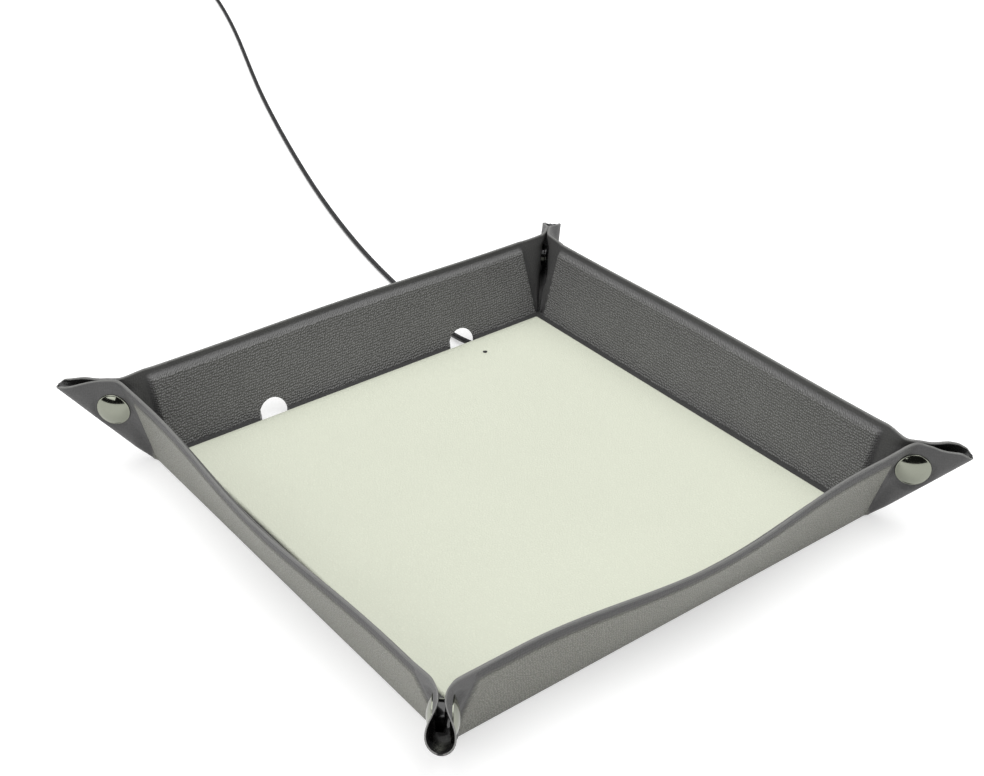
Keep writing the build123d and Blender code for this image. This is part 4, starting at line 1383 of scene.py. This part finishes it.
class OBJECT_OT_tray_lead(TrayOperator, bpy.types.Operator):
    """Charging lead along its route and round its put-away coil, with the tie and plug."""

    bl_idname = "object.tray_lead"
    bl_label = "Lead"

    def execute(self, context):
        _, _, _, _, lead = tray_settings(context)
        points = lead_points(lead)
        curve = bpy.data.curves.new("lead", "CURVE")
        curve.dimensions = "3D"
        curve.bevel_depth = lead.diameter / 2.0
        curve.bevel_resolution = 5
        curve.use_fill_caps = True
        spline = curve.splines.new("NURBS")
        spline.points.add(len(points) - 1)
        for point, place in zip(spline.points, points):
            point.co = (*place, 1.0)
        spline.order_u = 3
        spline.use_endpoint_u = True
        spline.resolution_u = 3
        piece = bpy.data.objects.new("lead", curve)
        context.scene.collection.objects.link(piece)
        rubber = moulded("lead rubber", (0.018, 0.018, 0.019), 0.38, 1800.0, RUBBER_DEPTH)
        dress_piece(piece, rubber, "lead_black", "charging_lead", "charging_lead_coil", body="base")
        dress_nodes(rubber, "lead_strain_relief", "plug_strain_relief")
        dress_nodes(moulded("tie fabric", (0.03, 0.03, 0.03), 0.8, 1200.0, WEAVE_DEPTH), "coil_tie")
        dress_nodes(moulded("plug black", (0.022, 0.022, 0.024), 0.42, 1500.0), "plug_grip")
        dress_nodes(polished_metal("plug steel", (0.66, 0.66, 0.65), 0.22), "plug_shell")
        dress_nodes(moulded("tongue white", (0.75, 0.75, 0.73), 0.35, 1500.0), "plug_tongue")
        dress_nodes(polished_metal("contact gold", (0.85, 0.62, 0.26), 0.15), "plug_contacts")
        length_of(points)
        return {"FINISHED"}


class OBJECT_OT_tray_stage(TrayOperator, bpy.types.Operator):
    """Pale floor, soft overhead light and the photograph's camera."""

    bl_idname = "object.tray_stage"
    bl_label = "Stage"

    def execute(self, context):
        stage = context.scene.tray_stage
        stage_floor()
        grey_world(SKY_DARK, SKY_BRIGHT)
        context.scene.view_settings.view_transform = "Standard"
        area_light("overhead", OVERHEAD_AT, OVERHEAD_SIDE, OVERHEAD_SIDE, stage.overhead)
        area_light("fill", FILL_AT, FILL_WIDTH, FILL_HEIGHT, stage.fill)
        flat = math.cos(ELEVATION)
        back = Vector((math.sin(AZIMUTH) * flat, -math.cos(AZIMUTH) * flat, math.sin(ELEVATION)))
        right = -back.cross(Vector((0.0, 0.0, 1.0))).normalized()
        up = right.cross(-back)
        across = right * math.cos(ROLL) + up * math.sin(ROLL)
        above = up * math.cos(ROLL) - right * math.sin(ROLL)
        camera = bpy.data.cameras.new("camera")
        camera.lens = stage.lens
        camera.sensor_width = SENSOR
        camera.clip_start = NEAREST
        thing = bpy.data.objects.new("camera", camera)
        context.scene.collection.objects.link(thing)
        turn = Matrix((across, above, back)).transposed().to_4x4()
        thing.matrix_world = Matrix.Translation(LOOK_AT + back * DISTANCE) @ turn
        context.scene.camera = thing
        return {"FINISHED"}


class VIEW3D_PT_tray(bpy.types.Panel):
    """Lists the operators and the settings they use."""

    bl_idname = "VIEW3D_PT_tray"
    bl_label = "Charging Tray"
    bl_space_type = "VIEW_3D"
    bl_region_type = "UI"
    bl_category = "Tray"

    def draw(self, context):
        for operator in OPERATORS:
            self.layout.operator(operator.bl_idname)
        for name in SETTINGS:
            box = self.layout.box()
            group = getattr(context.scene, name)
            for key in group.bl_rna.properties.keys():
                if key not in {"rna_type", "name"}:
                    box.prop(group, key)


OPERATORS = (
    OBJECT_OT_tray_walls, OBJECT_OT_tray_corners, OBJECT_OT_tray_floor, OBJECT_OT_tray_lead,
    OBJECT_OT_tray_stage,
)
SETTINGS = {
    "tray_walls": TrayWallSettings,
    "tray_corners": TrayCornerSettings,
    "tray_floor": TrayFloorSettings,
    "tray_finish": TrayFinishSettings,
    "tray_lead": TrayLeadSettings,
    "tray_stage": TrayStageSettings,
}


def register():
    """Registers the settings, operators and panel."""
    for name, group in SETTINGS.items():
        bpy.utils.register_class(group)
        setattr(bpy.types.Scene, name, PointerProperty(type=group))
    for operator in OPERATORS:
        bpy.utils.register_class(operator)
    bpy.utils.register_class(VIEW3D_PT_tray)


def unregister():
    """Takes the panel, operators and settings out again."""
    bpy.utils.unregister_class(VIEW3D_PT_tray)
    for operator in reversed(OPERATORS):
        bpy.utils.unregister_class(operator)
    for name, group in reversed(SETTINGS.items()):
        delattr(bpy.types.Scene, name)
        bpy.utils.unregister_class(group)


def main():
    """Dresses the frame."""
    register()
    bpy.ops.object.tray_walls()
    bpy.ops.object.tray_corners()
    bpy.ops.object.tray_floor()
    bpy.ops.object.tray_lead()
    bpy.ops.object.tray_stage()


if __name__ == "__main__":
    main()
